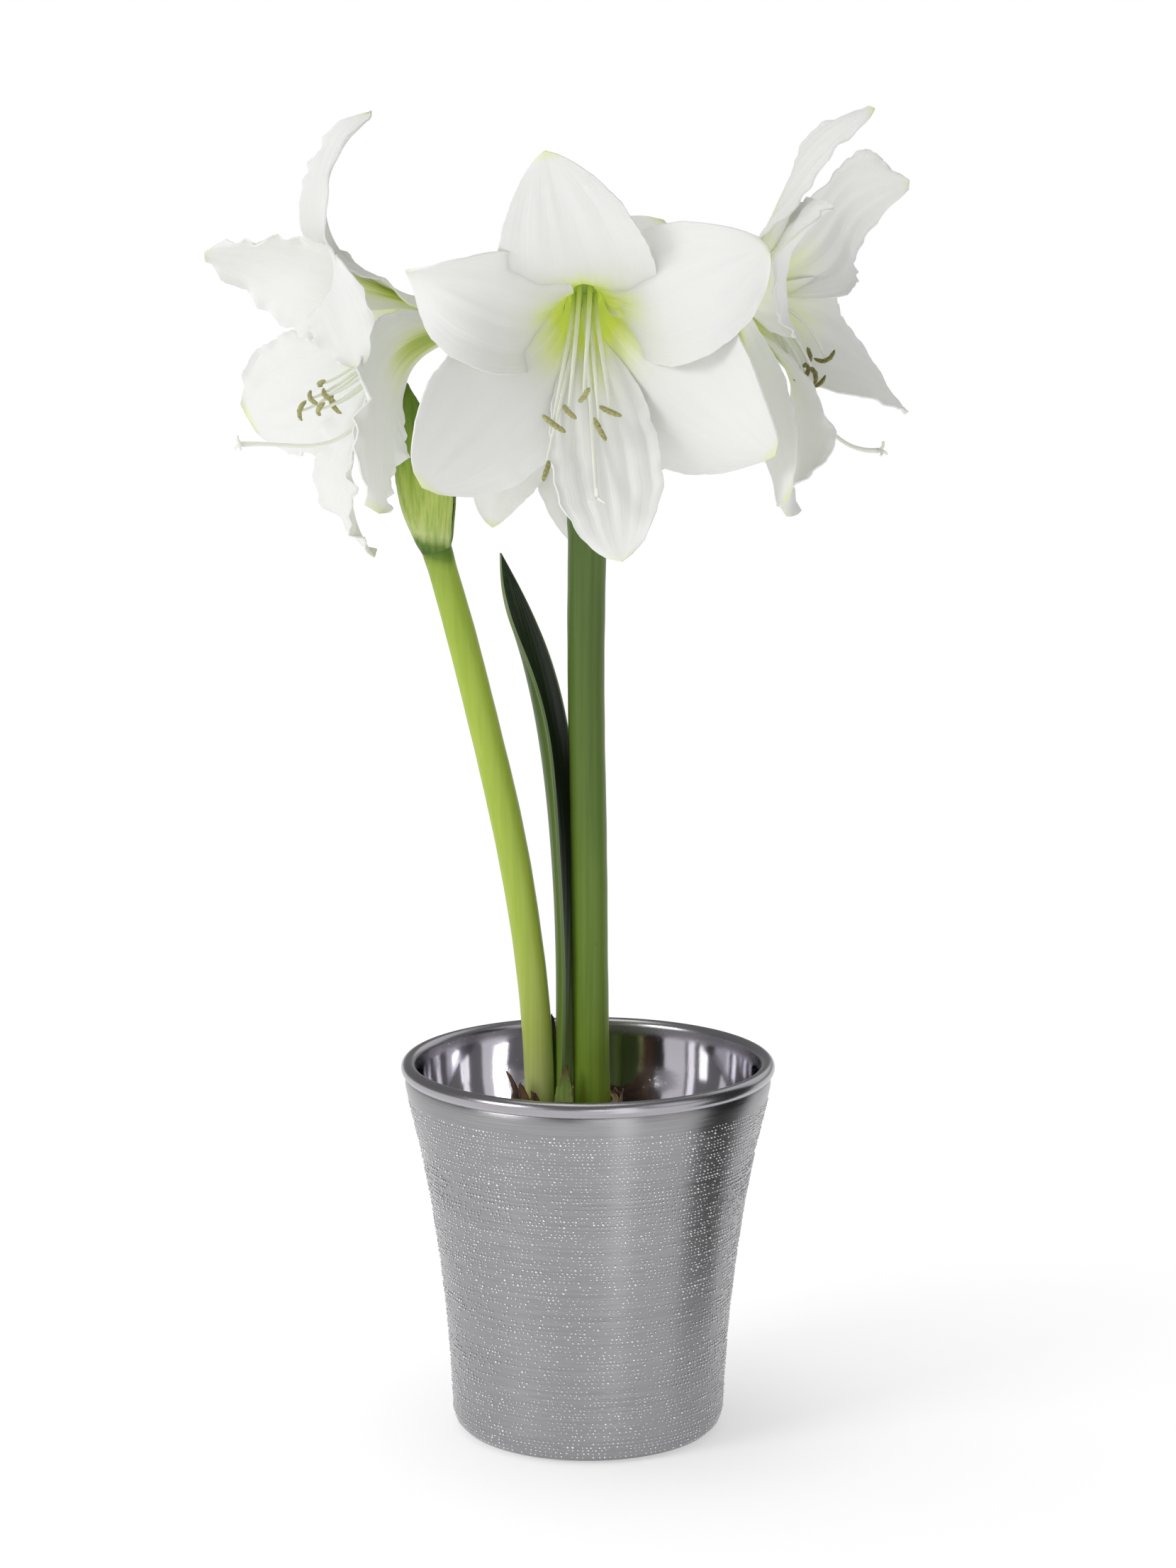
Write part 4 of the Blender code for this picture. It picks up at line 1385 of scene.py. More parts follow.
@dataclass(frozen=True)
class Tepal:
    """A petal: where it stands, its size, how it bends and how its edge is waved.

    lean, sway and twist are degrees at 3/10, 6/10 and the end of its length. ahead is how far each
    half of its edge comes forward past its neighbour's, in millimetres. Places across it run from
    -1 to 1 and places along it from 0 at its foot to 1 at its tip.
    """

    azimuth: float
    length: float
    width: float
    lean: Point
    sway: Point
    twist: Point
    belly: float
    point: float
    ruffle: float
    waves: float
    frill: float = 0.5
    ahead: Optional[tuple[float, float]] = None
    pleat: float = 1.0

    @property
    def inner(self) -> bool:
        """Whether it stands in the inner ring of three."""
        return min(abs((self.azimuth - a + 180) % 360 - 180) for a in INNER_RING) < 30

    def bend(self, degrees: Point, first: float, along: np.ndarray) -> np.ndarray:
        """One of its bending angles, in radians, at places along it, as a column."""
        return np.radians(spline(BENDS_AT, (first, *degrees), along))[:, None]

    def midrib(self, radius: float, along: np.ndarray) -> list[np.ndarray]:
        """Follow the line down its middle, in the bloom's own frame.

        Args:
            radius: how far from the bloom's axis it sets out.
            along: the places to read.

        Returns:
            The points there, the way across it and the way its inner side faces.
        """
        steps = 80
        s = np.linspace(0, 1, steps + 1)
        lean, sway = self.bend(self.lean, 2, s), self.bend(self.sway, 0, s)
        twist = self.bend(self.twist, 0, s)
        out = np.array((cos(radians(self.azimuth)), sin(radians(self.azimuth)), 0))
        axis = np.array((0, 0, 1.0))
        way = (axis * np.cos(lean) + out * np.sin(lean)) * np.cos(sway) + np.cross(axis, out) * np.sin(sway)
        run = np.cumsum((way[1:] + way[:-1]) / 2 * self.length / steps, axis=0)
        middle = out * radius + np.vstack((np.zeros(3), run))
        across = unit(np.cross(axis * np.sin(lean) - out * np.cos(lean), way))
        inward = np.cross(way, across)
        twisted = across * np.cos(twist) + inward * np.sin(twist)
        inward = inward * np.cos(twist) - across * np.sin(twist)
        rows = (middle, twisted, inward)
        return [np.stack([np.interp(along, s, row[:, k]) for k in range(3)], 1) for row in rows]

    def half_width(self, along: np.ndarray, radius: np.ndarray) -> np.ndarray:
        """Outline it, wide enough in the tube to lap its neighbours.

        Args:
            along: the places to read.
            radius: how far each is from the bloom's axis.

        Returns:
            Half its width at each, as a column.
        """
        a, b = self.belly, self.point
        widest = a / (a + b)
        half = self.width / 2 * (along**a * (1 - along) ** b) / (widest**a * (1 - widest) ** b)
        in_tube = 0.46 - along
        lapped = 1.12 * pi / 6 * np.minimum(radius, 20) * smooth(in_tube / 0.26)
        if self.inner:
            half = half * (1 - 0.34 * smooth(in_tube / 0.3))
            lapped = lapped * 0.62
        return np.maximum(half, lapped)[:, None]

    def nicks(self, across: np.ndarray, along: np.ndarray, seed: int) -> np.ndarray:
        """Draw its edge in and out a little.

        Args:
            across: the places across it, a row.
            along: the places along it, a column.
            seed: which waves.

        Returns:
            What its width is multiplied by at each point.
        """
        shift = np.where(across > 0, 0.0, 0.43)
        nick = 0.018 * waver(along * 3 + shift, seed) + 0.010 * waver(along * 13 + shift, seed + 1)
        return np.where(abs(across) > 0.02, 1 + free_edge(along) * nick * (0.6 + self.frill), 1)

    def relief(self, across: np.ndarray, along: np.ndarray, half: np.ndarray, seed: int) -> np.ndarray:
        """Wave its surface: the ruffled edge with its frill, the sunk midrib and the pleats.

        Args:
            across: the places across it, a row.
            along: the places along it, a column.
            half: half its width at each point.
            seed: which waves.

        Returns:
            How far each point stands forward, in millimetres.
        """
        edge = free_edge(along)
        phase = np.where(across > 0, 0, 2.1)
        lift = self.ruffle * edge * abs(across) ** 3 * np.sin(2 * pi * self.waves * along + phase)
        quick = waver(along * 5.5 + np.where(across > 0, 0.0, 0.43), seed + 2, (1.0, 1.7, 2.6))
        lift = lift + self.frill * edge * abs(across) ** 5 * quick * smooth(half / 8)
        lift = lift - 0.8 * np.exp(-((across / 0.16) ** 2)) * np.sin(pi * along)
        pleat = np.sin(across * 15 + 0.9 * np.sin(along * 7 + seed)) * 0.22
        pleat = (pleat + np.sin(across * 29 + seed) * 0.07) * np.clip(half / 24, 0, 1) ** 1.5
        lift = lift + self.pleat * pleat * smooth((along - 0.15) / 0.25) * smooth((1 - along) / 0.2)
        left, right = self.ahead or ((3.0, 3.0) if self.inner else (-4.0, -4.0))
        reach = smooth((along - 0.2) / 0.22) * smooth((0.97 - along) / 0.35)
        return lift + np.where(across > 0, right, left) * across * across * reach


@dataclass
class Bloom:
    """One flower: six petals, six stamens, a pistil and the stalk that carries it.

    yaw and pitch are the way it faces, in degrees. Each anther has its place, and half its length
    along the way it lies. The style sets out straight, then bends by style_bow: how far it keeps
    on, drops, comes in level and rises, as shares of its reach. The stalk leaves its foot along
    foot_way and comes in over back millimetres. lift is how far the filaments arch up, hooked how
    much the anthers curve, and throat how green the inside is, all as shares.
    """

    side: str
    start: Point
    yaw: float
    pitch: float
    tepals: tuple[Tepal, ...]
    anthers: tuple[Point, ...]
    lies: tuple[Point, ...]
    stigma: Point
    straight: float
    style_bow: tuple[float, float, float, float]
    foot: Point
    foot_way: Point
    back: float
    lift: float = 0.0
    pollen: Skin = Skin.POLLEN
    throat: float = 1.0
    hooked: float = 0.22
    tube_radius: float = 7.0
    plug: float = 5.0
    thread_ring: float = 4.1
    thread_points: int = 26
    style_points: int = 44
    thick: float = 0.75
    rows: int = 60
    columns: int = 36
    frame: np.ndarray = field(init=False)

    def __post_init__(self) -> None:
        """The bloom's up, its side and the way it faces, as columns."""
        yaw, pitch = radians(self.yaw), radians(self.pitch)
        facing = np.array((sin(yaw) * cos(pitch), -cos(yaw) * cos(pitch), sin(pitch)))
        up = unit(np.array((0, 0, 1.0)) - facing * facing[2])
        self.frame = np.stack((up, np.cross(facing, up), facing), 1)

    def petal(self, number: int, tepal: Tepal) -> bpy.types.Object:
        """One petal with its veins, pleats and frilled edge.

        Args:
            number: which of the six it is.
            tepal: its shape.

        Returns:
            The petal, which holds how green it is at each point.
        """
        # rows stand closest half way along it, and columns closest at its edges
        at = np.linspace(0, 1, self.rows + 1)
        at = at + 0.10 * np.sin(2 * pi * at) / (2 * pi)
        t = np.linspace(-1, 1, self.columns + 1)
        t = (t * (1 + 0.22 * (1 - t * t)))[None]
        seed = number * 7 + len(self.side) * 100
        middle, across, inward = tepal.midrib(self.tube_radius, at)
        radius = np.linalg.norm(middle[:, :2], axis=1)
        along = at[:, None]
        half = tepal.half_width(at, radius) * tepal.nicks(t, along, seed)
        spread = smooth((along - 0.12) / 0.4)
        curl = (1 - spread) / np.maximum(radius, self.tube_radius)[:, None] + spread * 0.01
        wide = np.sin(curl * half * t) / curl
        lift = (1 - np.cos(curl * half * t)) / curl + tepal.relief(t, along, half, seed)
        lift = lift + (0.7 if tepal.inner else 0.0) * (1 - spread)
        points = middle[:, None] + wide[..., None] * across[:, None] + lift[..., None] * inward[:, None]
        points = points @ self.frame.T + np.array(self.start)
        made = blade(f"petal_{self.side}_{number}", points, inward @ self.frame.T, self.thick)
        hold(made, "breadth", smooth(np.interp(read(made, "along"), at, half.min(1)) / 18) ** 2)
        self.tint(made, tepal.inner)
        return made

    def tint(self, made: bpy.types.Object, inner: bool) -> None:
        """Write how green a petal is: in the throat, down the middle of its back and at its tip.

        Args:
            made: the petal.
            inner: whether it is one of the inner three.
        """
        along, across, inside = (read(made, name) for name in ("along", "across", "inside"))
        deep = smooth((0.37 - along) / 0.24) * (1 - 0.4 * smooth((abs(across) - 0.3) / 0.6))
        ray = smooth((0.52 - along) / 0.3) * np.exp(-((across / (0.30 if inner else 0.40)) ** 2)) * 0.5
        front = np.maximum(deep, ray) * self.throat
        foot = smooth((0.22 - along) / 0.2) * 0.75
        stripe = smooth((0.62 - along) / 0.5) * np.exp(-((across / 0.36) ** 2)) * (1.0 if inner else 0.85)
        behind = np.maximum(foot, stripe)
        tip = smooth((along - 0.965) / 0.035) * (0.12 if inner else 0.3)
        green = np.where(inside > 0.5, front, behind)
        hold(made, "green", np.clip(np.maximum(green, tip), 0, 1))
        hold(made, "back", (inside < 0.5).astype(float))

    def perianth(self) -> None:
        """All six petals and the floor of their tube, in one piece."""
        petals = [self.petal(number, tepal) for number, tepal in enumerate(self.tepals)]
        r = self.tube_radius
        rings = [(r - 1.2, 0.15), (r + 0.5, 1.4), (r + 0.7, 3.6), (r - 0.6, self.plug)]
        floor = turned("tube_floor", rings, 32)
        move(floor, corners(floor) @ self.frame.T + np.array(self.start))
        for name, value in (("green", 0.95), ("breadth", 0.0), ("back", 0.0)):
            hold(floor, name, np.full(len(floor.data.vertices), value))
        made = joined(f"petals_{self.side}", [*petals, floor])
        for name in ("along", "across", "inside"):
            made.data.attributes.remove(made.data.attributes[name])
        hand_over(dress(made, Skin.PETAL), "perianth", f"perianth_{self.side}")

    def stamens(self) -> None:
        """Six filaments from a ring in the tube, and a grainy curved anther across each end."""
        start = np.array(self.start)
        facing = self.frame[:, 2]
        low = self.plug + 0.3
        threads, pods = [], []
        for number, (tip, lies) in enumerate(zip(self.anthers, self.lies)):
            angle = radians(-150 + 60 * number)
            apart = np.array((cos(angle), sin(angle))) * self.thread_ring
            base = start + self.frame @ np.array((*apart, low))
            tip = np.array(tip)
            reach = np.linalg.norm(tip - base)
            rise = self.frame[:, 0] * reach * self.lift
            over = tip - facing * reach * 0.2 + rise
            path = bezier(base, base + facing * reach * 0.4, over, tip, self.thread_points)
            at = np.linspace(0, 1, self.thread_points)
            threads.append(tube(f"filament_{number}", path, 1.2 - 0.6 * at**0.8, 3))
            hold(threads[-1], "green", self.greenness(threads[-1], 34))
            pods.append(self.pod(number, tip, np.array(lies)))
        ends = np.array((start + facing * low, start + facing * (low + 2.2)))
        ring = tube("stamen_ring", ends, (4.85, 4.6), 6)
        hold(ring, "green", np.full(len(ring.data.vertices), 0.8))
        made = joined(f"filaments_{self.side}", [*threads, ring])
        hand_over(dress(made, Skin.STYLE), "stamens", f"stamens_{self.side}")
        made = joined(f"anthers_{self.side}", pods)
        hand_over(dress(made, self.pollen), "stamens", f"stamens_{self.side}")

    def pod(self, number: int, tip: np.ndarray, lies: np.ndarray) -> bpy.types.Object:
        """One anther: a curved double pod, rough with pollen.

        Args:
            number: which of the six it is.
            tip: the end of its filament, at the middle of its back.
            lies: half its length, along the way it lies.

        Returns:
            The anther.
        """
        facing = self.frame[:, 2]
        sag = unit(np.cross(np.cross(lies, facing), lies))
        k = np.linspace(-1, 1, 19)
        bow = self.hooked * np.linalg.norm(lies)
        path = tip + k[:, None] * lies - sag * (bow * (k**2)[:, None] - 0.6)
        radii = 0.9 * (1 - abs(k) ** 3.2) ** 0.5 + 0.16
        made = tube(f"anther_{number}", path, radii, 5)
        points = corners(made)
        near = nearest(points, path)
        out = points - path[near]
        far = np.linalg.norm(out, axis=1)
        across = unit(np.cross(lies, sag))
        groove = 1 - 0.24 * np.exp(-(((out @ across) / 0.45) ** 2))
        chance = np.random.default_rng(number + 50)
        rough = chance.uniform(0.84, 1.16, len(points))
        points = path[near] + out * (groove * rough * (far > 0.1))[:, None]
        move(made, points)
        return made

    def greenness(self, made: bpy.types.Object, fade: float) -> np.ndarray:
        """How green a thread is: fully in the tube, fading with the distance from it."""
        far = (corners(made) - np.array(self.start)) @ self.frame[:, 2]
        return smooth(1 - far / fade) * 0.75

    def pistil(self) -> None:
        """The style, which hangs below the stamens, and its three curled arms."""
        start = np.array(self.start)
        facing = self.frame[:, 2]
        base = start + facing * (self.plug + 0.3)
        tip = np.array(self.stigma)
        out = base + facing * self.straight
        reach = np.linalg.norm(tip - out)
        ahead, drop, short, rise = (reach * k for k in self.style_bow)
        near = out + facing * ahead - self.frame[:, 0] * drop
        far = tip - facing * short + self.frame[:, 0] * rise
        path = np.vstack((base, bezier(out, near, far, tip, self.style_points)))
        radii = np.linspace(0.95, 0.8, self.style_points + 1)
        radii[-6:] = np.linspace(0.85, 1.15, 6)
        pieces = [tube("style", path, radii, 4)]
        way = unit(path[-1] - path[-2])
        side = unit(np.cross(way, (0, 0, 1.0)))
        for number, angle in enumerate(np.radians((90, 210, 330))):
            apart = side * cos(angle) + np.cross(side, way) * sin(angle)
            bend = tip + way * 2.4 + apart * 1.8
            arm = bezier(tip - way * 0.8, tip + way * 1.6, bend, bend + apart * 1.9 - way * 0.3, 12)
            pieces.append(tube(f"stigma_{number}", arm, np.linspace(0.9, 0.55, 12), 3))
        for piece in pieces:
            hold(piece, "green", self.greenness(piece, 40) * 0.8)
        made = joined(f"style_{self.side}", pieces)
        hand_over(dress(made, Skin.STYLE), "pistil", f"pistil_{self.side}")

    def stalk(self) -> None:
        """The stalk and the ovary, three-sided where it swells."""
        facing = self.frame[:, 2]
        end = np.array(self.start) - facing * 0.05
        foot = np.array(self.foot)
        way = unit(np.array(self.foot_way))
        middle = foot + way * np.linalg.norm(end - foot) * 0.5
        curve = bezier(foot + way * 3, middle, end - facing * self.back, end - facing * 6, 56)
        path = np.vstack((foot - way * 0.6, curve, end))
        reach = reach_along(path)
        before = reach[-1] - reach
        swell = smooth((24 - before) / 12) * (1 - 0.12 * smooth((5 - before) / 5))
        radii = 3.5 + 2.9 * swell + 0.7 * smooth(1 - reach / 5)
        made = tube(f"stalk_{self.side}_green", path, radii, 8)
        points = corners(made)
        near = nearest(points, path)
        out = points - path[near]
        turn = np.arctan2(out @ self.frame[:, 1], out @ self.frame[:, 0])
        points = path[near] + out * (1 + 0.055 * np.cos(3 * turn) * swell[near])[:, None]
        move(made, points)
        hand_over(dress(made, Skin.STALK), "stalk", f"stalk_{self.side}")

    def build(self) -> None:
        """The whole flower with its stalk."""
        self.perianth()
        self.stamens()
        self.pistil()
        self.stalk()


@dataclass(frozen=True)
class Card:
    """An upright card beside the pot, which only its glaze sees.

    It faces turn degrees from -Y towards +X. A glow of 0 makes it a black card.
    """

    name: str
    centre: Point
    wide: float
    tall: float
    turn: float
    glow: float
    face: Colour = (0.02, 0.02, 0.02)

    def stand(self) -> None:
        """Put it up."""
        deselect()
        bpy.ops.mesh.primitive_plane_add(size=1, location=(0, 0, 0))
        made = fresh(self.name)
        bpy.ops.transform.resize(value=(self.wide, self.tall, 1))
        bpy.ops.transform.rotate(value=radians(90), orient_axis="X", center_override=(0, 0, 0))
        bpy.ops.transform.rotate(value=-radians(self.turn), orient_axis="Z", center_override=(0, 0, 0))
        bpy.ops.transform.translate(value=self.centre)
        made.visible_camera = made.visible_diffuse = made.visible_shadow = False
        skin = Board.named(self.name).done(
            Base_Color=self.face, Roughness=1.0, Emission_Color=WHITE, Emission_Strength=self.glow
        )
        made.data.materials.append(skin)


@dataclass(frozen=True)
class Lamp:
    """A soft square light that looks at the plant: its place, the length of its side, its watts."""

    name: str
    at: Point
    size: float
    power: float
    aim: Point = (0.0, 0.0, 0.38)

    def hang(self) -> None:
        """Put it up."""
        lamp = bpy.data.lights.new(self.name, "AREA")
        lamp.size = self.size
        lamp.energy = self.power
        made = bpy.data.objects.new(self.name, lamp)
        bpy.context.scene.collection.objects.link(made)
        made.location = self.at
        made.rotation_mode = "QUATERNION"
        made.rotation_quaternion = (Vector(self.at) - Vector(self.aim)).to_track_quat("Z", "Y")


@dataclass
class Studio:
    """The white floor, the soft lights and the photograph's camera.

    Each window, which only the glaze sees, has its left and right bearing, its lower and upper edge,
    all in degrees, and how bright it is.
    """

    camera_at: Point = (0.0, -1.503, 0.530)
    pitch: float = -9.42
    lens: float = 5080.0 * 36.0 / 2212.0
    sensor: float = 36.0
    floor_side: float = 60.0
    windows: tuple[tuple[float, float, float, float, float], ...] = (
        (-66, -26, 4, 27, 1.0), (40, 74, 8, 48, 0.8), (-180, 180, 72, 90, 0.3), (118, 165, 10, 50, 0.7),
    )
    cards: tuple[Card, ...] = (
        Card("black_card", (0.20, -0.03, 0.16), 0.13, 0.32, 90, 0.0),
        Card("white_card", (0.075, -0.215, 0.13), 0.045, 0.26, 20, 1.7),
    )
    lamps: tuple[Lamp, ...] = (
        Lamp("key", (-1.9, -1.3, 1.2), 0.9, 17.0),
        Lamp("top", (-0.2, 0.1, 2.4), 1.2, 8.0),
        Lamp("fill", (0.25, -1.9, 0.45), 0.5, 1.8),
    )

    def floor(self) -> None:
        """A wide plain floor that the pot stands on."""
        deselect()
        bpy.ops.mesh.primitive_plane_add(size=self.floor_side, location=(0, 0, 0))
        made = fresh("studio_floor")
        made.data.materials.append(FloorFinish().make())

    def sky(self) -> None:
        """White surroundings, which the glaze sees as a dim room with bright windows."""
        world = bpy.data.worlds.new("studio")
        bpy.context.scene.world = world
        board = Board(world)
        way = board.node("ShaderNodeTexCoord", {}, {}, "Generated")
        x, y, z = (board.part(way, axis) for axis in "XYZ")
        turn = board.node("ShaderNodeMath", {"operation": "ARCTAN2"}, {0: x, 1: 0.0 - y})
        tall = board.node("ShaderNodeMath", {"operation": "ARCSINE"}, {0: z})
        room = 0.21 + board.between(0.0 - tall, -0.12, 0.05) * 0.65
        for left, right, low, high, tone in self.windows:
            box = board.window(turn, radians(left), radians(right))
            room = room + box * board.window(tall, radians(low), radians(high)) * tone
        soft = 0.38 + z * 0.12 + y * 0.12 + x * x * 0.12 - x * 0.18
        glossy = board.node("ShaderNodeLightPath", {}, {}, "Is Glossy Ray")
        seen = board.node("ShaderNodeLightPath", {}, {}, "Is Camera Ray")
        tone = soft + (room - soft) * glossy
        tone = board.mix(tone + (1.0 - tone) * seen, BLACK, WHITE)
        board.plug(board.tree.nodes["Background"].inputs["Color"], tone)

    def camera(self) -> None:
        """The photograph's viewpoint."""
        eye = bpy.data.cameras.new("camera")
        eye.lens = self.lens
        eye.sensor_width = self.sensor
        eye.clip_start = 0.05
        eye.clip_end = 200
        made = bpy.data.objects.new("camera", eye)
        bpy.context.scene.collection.objects.link(made)
        made.location = self.camera_at
        made.rotation_euler = (radians(90 + self.pitch), 0, 0)
        bpy.context.scene.camera = made

    def build(self) -> None:
        """Everything round the object."""
        self.camera()
        self.floor()
        self.sky()
        for card in self.cards:
            card.stand()
        for lamp in self.lamps:
            lamp.hang()
        bpy.context.scene.view_settings.view_transform = "Standard"
        bpy.context.scene.view_settings.look = "None"


STEMS = (
    Scape(
        "scape_left", Skin.SCAPE_LEFT,
        (
            (-19.9, 0, 124.3), (-22.0, 0, 176), (-27.2, 0, 223), (-34.8, 0, 266),
            (-44.4, 0, 308), (-53.8, 0, 346), (-63.8, 0, 381.8),
        ),
        (6.5, 6.4, 6.5, 6.65, 6.5, 6.3, 6.0), 0.35,
    ),
    Scape(
        "scape_right", Skin.SCAPE_RIGHT,
        ((2.2, 0, 124.3), (1.0, 0, 190), (0.2, 0, 260), (-0.8, 0, 330), (0.0, 0, 397)),
        (7.8, 7.8, 7.8, 7.8, 8.3), 0.5,
    ),
)

STRAPS = (
    Strap(
        "leaf_long", Skin.LEAF, "leaf_long",
        (
            (-12.9, 3.6, 137.3), (-12.6, 3.8, 200), (-14.5, 4, 258),
            (-20.3, 4, 306), (-28.0, 4, 344), (-36.7, 4, 378.3),
        ),
        (11.0, 13.0, 14.0, 13.5, 9.0, 0.0), (0.062, 0.062, 0.075, 0.1, 0.1, 0.06),
        (-10, -12, -22, -24, -36, -62), 1.5, 110, 32,
    ),
    Strap(
        "leaf_short", Skin.LEAF_TIP, "leaf_short",
        ((-14.8, 11.6, 137.3), (-14.7, 11.6, 160), (-15.6, 11.2, 178.5)),
        (4.2, 3.4, 0.0), (0.1, 0.1, 0.1), (-75, -75, -75), 1.1, 40, 14, 0.05, 0.6,
    ),
    Strap(
        "leaf_stub", Skin.STUB, "leaf_stub",
        ((-10.3, -13.6, 137.3), (-10.2, -12.6, 150), (-9.0, -12.0, 161.5)),
        (3.6, 3.4, 0.0), (0.08, 0.08, 0.08), (80, 80, 80), 1.1, 30, 14, 0.06, 0.5,
    ),
    Strap(
        "spathe_front", Skin.SPATHE, "spathe",
        (
            (-63.2, -6.8, 379.6), (-67.7, -10.0, 398), (-70.4, -11.0, 417),
            (-74.4, -9.5, 436), (-74.8, -7.0, 450),
        ),
        (8.6, 13.6, 13.4, 8.0, 0.0), (0.146, 0.085, 0.07, 0.05, 0.05), (90, 83, 80, 80, 80),
        0.8, 60, 28, 0.012, 0.5, 0.2,
    ),
    Strap(
        "spathe_back", Skin.SPATHE, "spathe",
        ((-63.2, 6.8, 379.6), (-66.0, 11.0, 400), (-68.6, 12.0, 420), (-72.0, 10.0, 438)),
        (8.2, 12.0, 10.0, 0.0), (0.146, 0.08, 0.06, 0.05), (-90, -86, -86, -86),
        0.8, 54, 28, 0.012, 0.5, 0.2,
    ),
)

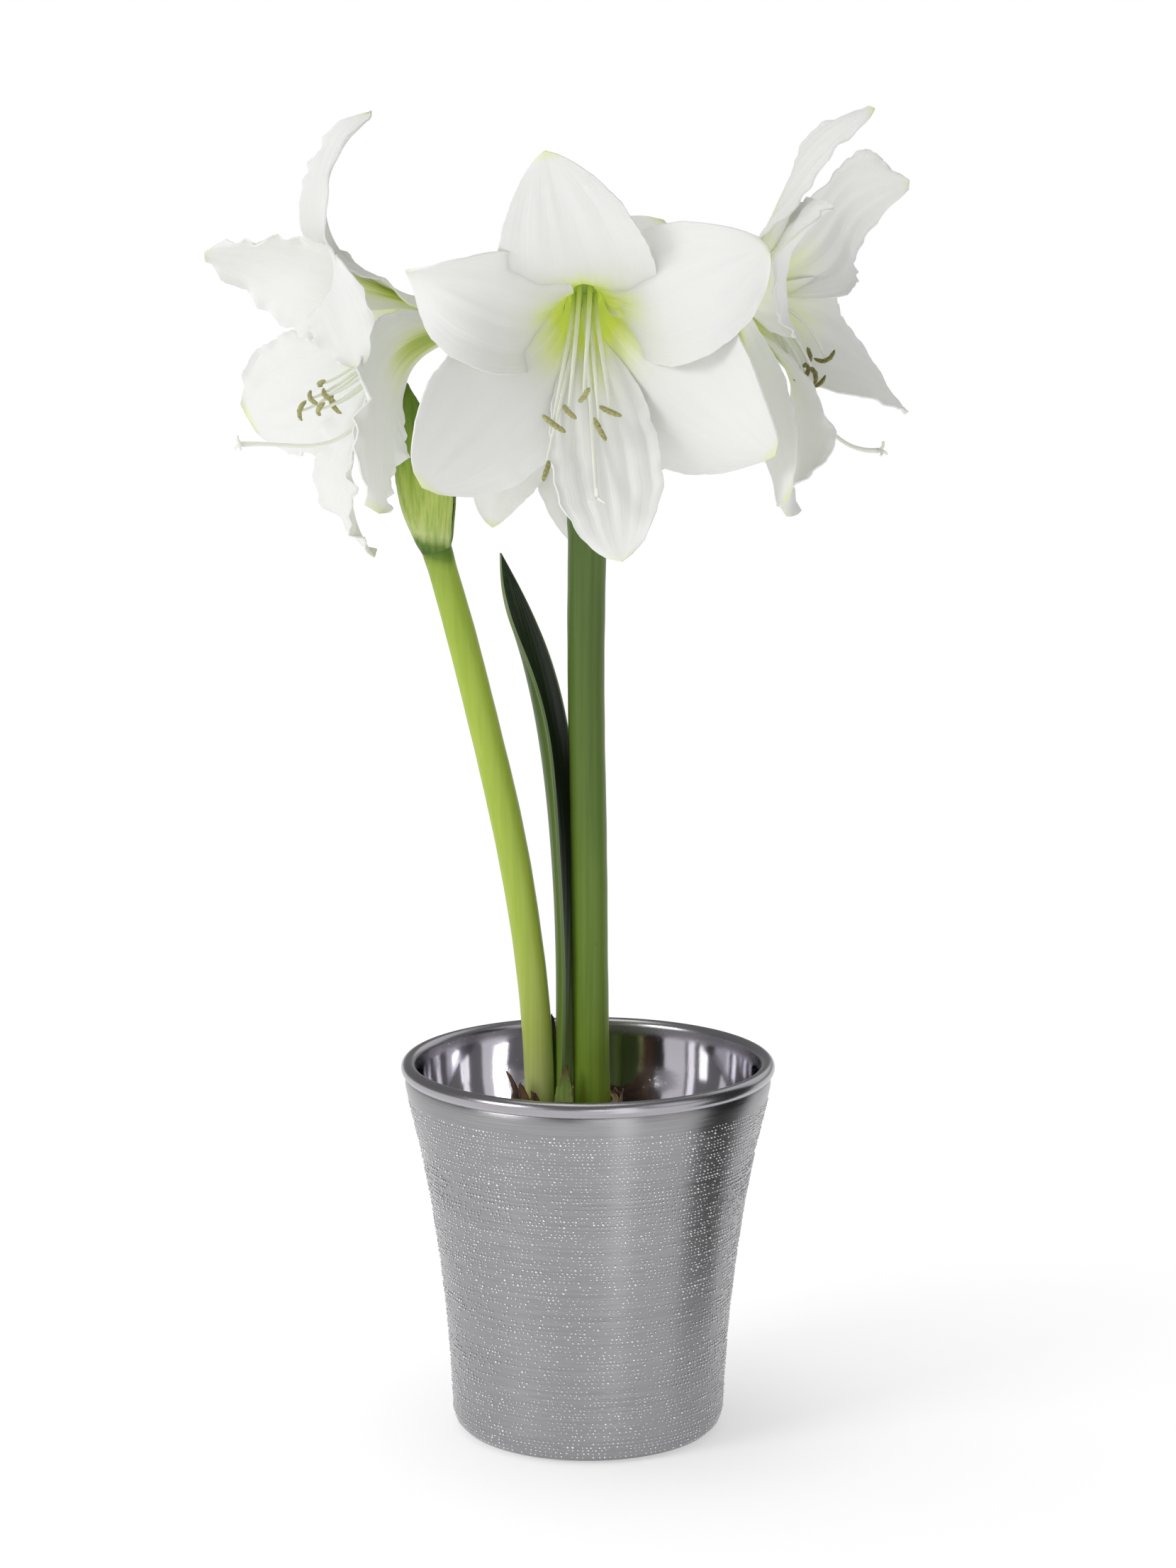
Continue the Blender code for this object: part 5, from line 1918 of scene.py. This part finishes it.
BLOOMS = (
    Bloom(
        "centre", (-1.3, -34.0, 489.1), 0, -17,
        (
            Tepal(7, 124, 61, (22, 53, 90), (-1, 3, 8), (-1, 3, -6), 0.84, 0.78, 1.0, 1.7, 0.4, (0.5, -6.0)),
            Tepal(
                68, 113, 49, (21, 54, 93), (5, -10, 5), (-2, 13, -56),
                1.27, 0.66, 1.2, 2.0, 0.5, (4.0, 4.0),
            ),
            Tepal(
                -61, 120, 54, (26, 54, 81), (-2, 7, -2), (3, -12, 16),
                1.23, 0.69, 1.0, 1.8, 0.4, (4.0, -3.0),
            ),
            Tepal(
                128, 125, 59, (21, 56, 69), (-1, -1, 10), (1, 1, -31),
                1.23, 0.59, 0.8, 1.5, 0.4, (-5.0, -2.0),
            ),
            Tepal(
                -118, 124, 65, (26, 52, 78), (4, 0, -6), (-2, -1, 49),
                1.26, 0.57, 0.8, 1.6, 0.4, (-2.0, -5.0),
            ),
            Tepal(
                188, 131, 43, (22, 43, 58), (1, 3, 0), (0, -3, 14),
                1.55, 0.68, 1.6, 2.4, 1.5, (1.5, 1.5), 3.0,
            ),
        ),
        (
            (4.5, -108, 437.6), (8.6, -106, 444.3), (-1.5, -112, 450.7),
            (-7.3, -106, 444.1), (-13.3, -108, 439.6), (-16.1, -113, 422.0),
        ),
        (
            (2.4, -1.5, -4.4), (4.4, -1.2, -1.9), (2.0, -3.6, 2.9),
            (2.6, -3.4, -2.4), (4.6, -1.2, -3.3), (-1.2, -3.0, -3.8),
        ),
        (3.4, -118.0, 412.2), 8, (0.2, 0.0, 0.1, -0.04), (4.6, -3.4, 397.4), (0.0, 0.0, 1.0), 24.0,
    ),
    Bloom(
        "left", (-47.6, 6.0, 476.8), -62, -8,
        (
            Tepal(0, 132, 74, (30, 78, 159), (5, -15, 3), (12, -19, 7), 1.34, 0.74, 1.6, 2.0, 1.4),
            Tepal(49, 114, 52, (25, 47, 6), (-2, 1, -5), (3, -2, -34), 1.42, 0.72, 1.8, 2.4, 2.8, None, 1.6),
            Tepal(
                118, 116, 53, (27, 57, 72), (5, -5, -11), (1, -6, -17),
                1.49, 0.7, 1.6, 2.0, 2.0, None, 1.6,
            ),
            Tepal(182, 127, 51, (26, 68, 115), (1, -11, 22), (0, 8, 14), 1.51, 0.7, 2.6, 2.5, 3.2),
            Tepal(-122, 127, 61, (30, 59, 68), (5, -14, -39), (9, 20, 23), 1.38, 0.72, 2.4, 2.4, 3.0),
            Tepal(-63, 129, 32, (13, 46, 107), (24, -25, -110), (12, -40, -25), 1.6, 0.66, 1.8, 2.0, 2.6),
        ),
        (
            (-109.1, -34, 440.6), (-106.4, -31, 446.1), (-112.7, -30, 445.1),
            (-109.0, -27, 450.7), (-117.2, -28, 439.7), (-103.9, -26, 442.3),
        ),
        (
            (1.2, -3.4, 2.8), (2.6, -3.0, -2.4), (1.6, -3.4, -2.6),
            (1.0, -4.2, 1.2), (1.1, -1.8, 4.3), (1.9, -1.6, -4.2),
        ),
        (-139.5, -46.0, 427.3), 20, (0.45, 0.62, 0.35, -0.04),
        (-63.88, 0.0, 382.15), (-0.29, 0.0, 0.96), 36.0,
        throat=0.55, hooked=0.45,
    ),
    Bloom(
        "right", (47.3, 6.0, 486.8), 64, -8,
        (
            Tepal(
                14, 113, 51, (59, 63, 23), (8, -3, -22), (-3, 22, 7),
                1.45, 0.71, 1.4, 2.2, 1.2, (-1.0, -1.0),
            ),
            Tepal(64, 105, 56, (39, 55, 78), (0, 2, 2), (1, 15, -37), 1.43, 0.7, 1.8, 2.4, 2.0),
            Tepal(
                126, 124, 58, (57, 50, 65), (4, 7, 18), (-13, -10, -19),
                1.48, 0.7, 1.0, 1.8, 0.5, (0.0, 0.0),
            ),
            Tepal(
                174, 111, 56, (29, 77, 79), (-1, 4, -17), (4, -41, -9),
                1.55, 0.68, 2.2, 2.5, 1.6, (0.0, 0.0),
            ),
            Tepal(
                -114, 112, 61, (27, 69, 96), (-1, -1, 5), (12, -35, -39),
                1.32, 0.75, 1.2, 2.0, 1.0, (0.0, -5.0),
            ),
            Tepal(
                -51, 114, 58, (43, 95, 2), (9, -6, 2), (-14, 1, 27),
                1.32, 0.67, 1.4, 2.2, 1.4, (4.0, 0.0), 2.2,
            ),
        ),
        (
            (88.0, -14, 449.5), (93.7, -20, 450.2), (90.4, -16, 459.9),
            (97.4, -20, 460.3), (91.9, -26, 455.1), (88.5, -24, 454.0),
        ),
        (
            (2.6, -1.4, -4.0), (4.2, -2.0, 1.6), (1.4, -2.0, 4.2),
            (4.2, -1.6, 1.8), (2.2, -1.6, -4.1), (3.0, -1.2, 3.6),
        ),
        (117.9, -40.0, 424.4), 16, (0.25, 0.0, 0.4, -0.1), (2.6, 4.6, 397.4), (0.0, 0.0, 1.0), 22.0,
        lift=0.35, pollen=Skin.POLLEN_DARK, throat=0.5, hooked=0.6,
    ),
    Bloom(
        "back", (-4.1, 36.0, 459.6), 178, -12,
        (
            Tepal(27, 119, 57, (26, 55, 74), (-1, -4, 4), (0, 1, 7), 1.49, 0.71, 1.0, 1.8),
            Tepal(92, 111, 48, (23, 48, 69), (1, 2, 2), (0, 0, 0), 1.5, 0.7, 1.2, 2.2),
            Tepal(130, 111, 58, (17, 27, 54), (-1, -6, -5), (0, 0, 0), 1.5, 0.7, 1.0, 1.8),
            Tepal(179, 117, 48, (25, 51, 70), (0, -5, 7), (0, -1, 11), 1.47, 0.73, 1.4, 2.2),
            Tepal(-143, 120, 37, (24, 50, 67), (5, 3, -34), (0, 1, 9), 1.39, 0.78, 1.0, 1.8),
            Tepal(-59, 106, 48, (21, 38, 62), (1, 2, 2), (0, 0, 0), 1.5, 0.7, 1.2, 2.2),
        ),
        (
            (-2.2, 118, 431.9), (-11.3, 115, 431.6), (-7.4, 113, 438.1),
            (1.7, 115, 438.6), (7.6, 112, 434.2), (-0.5, 110, 428.5),
        ),
        (
            (3.6, 1.0, -3.4), (-3.0, 1.2, -3.8), (-3.6, 1.4, 3.0),
            (3.8, 1.2, 2.8), (4.6, 1.0, -1.4), (-2.0, 1.4, -4.4),
        ),
        (-1.3, 117.0, 417.8), 8, (0.4, 0.15, 0.5, -0.08), (-5.2, -0.8, 397.4), (0.0, 0.0, 1.0), 16.0,
    ),
)


def main() -> None:
    """Build every sub-assembly in order."""
    logging.basicConfig(level=logging.INFO, format="%(name)s: %(message)s")
    Studio().build()
    Pot().build()
    Bulb().build()
    for stem in STEMS:
        stem.build()
    for strap in STRAPS:
        strap.build()
    for bloom in BLOOMS:
        bloom.build()


if __name__ == "__main__":
    main()
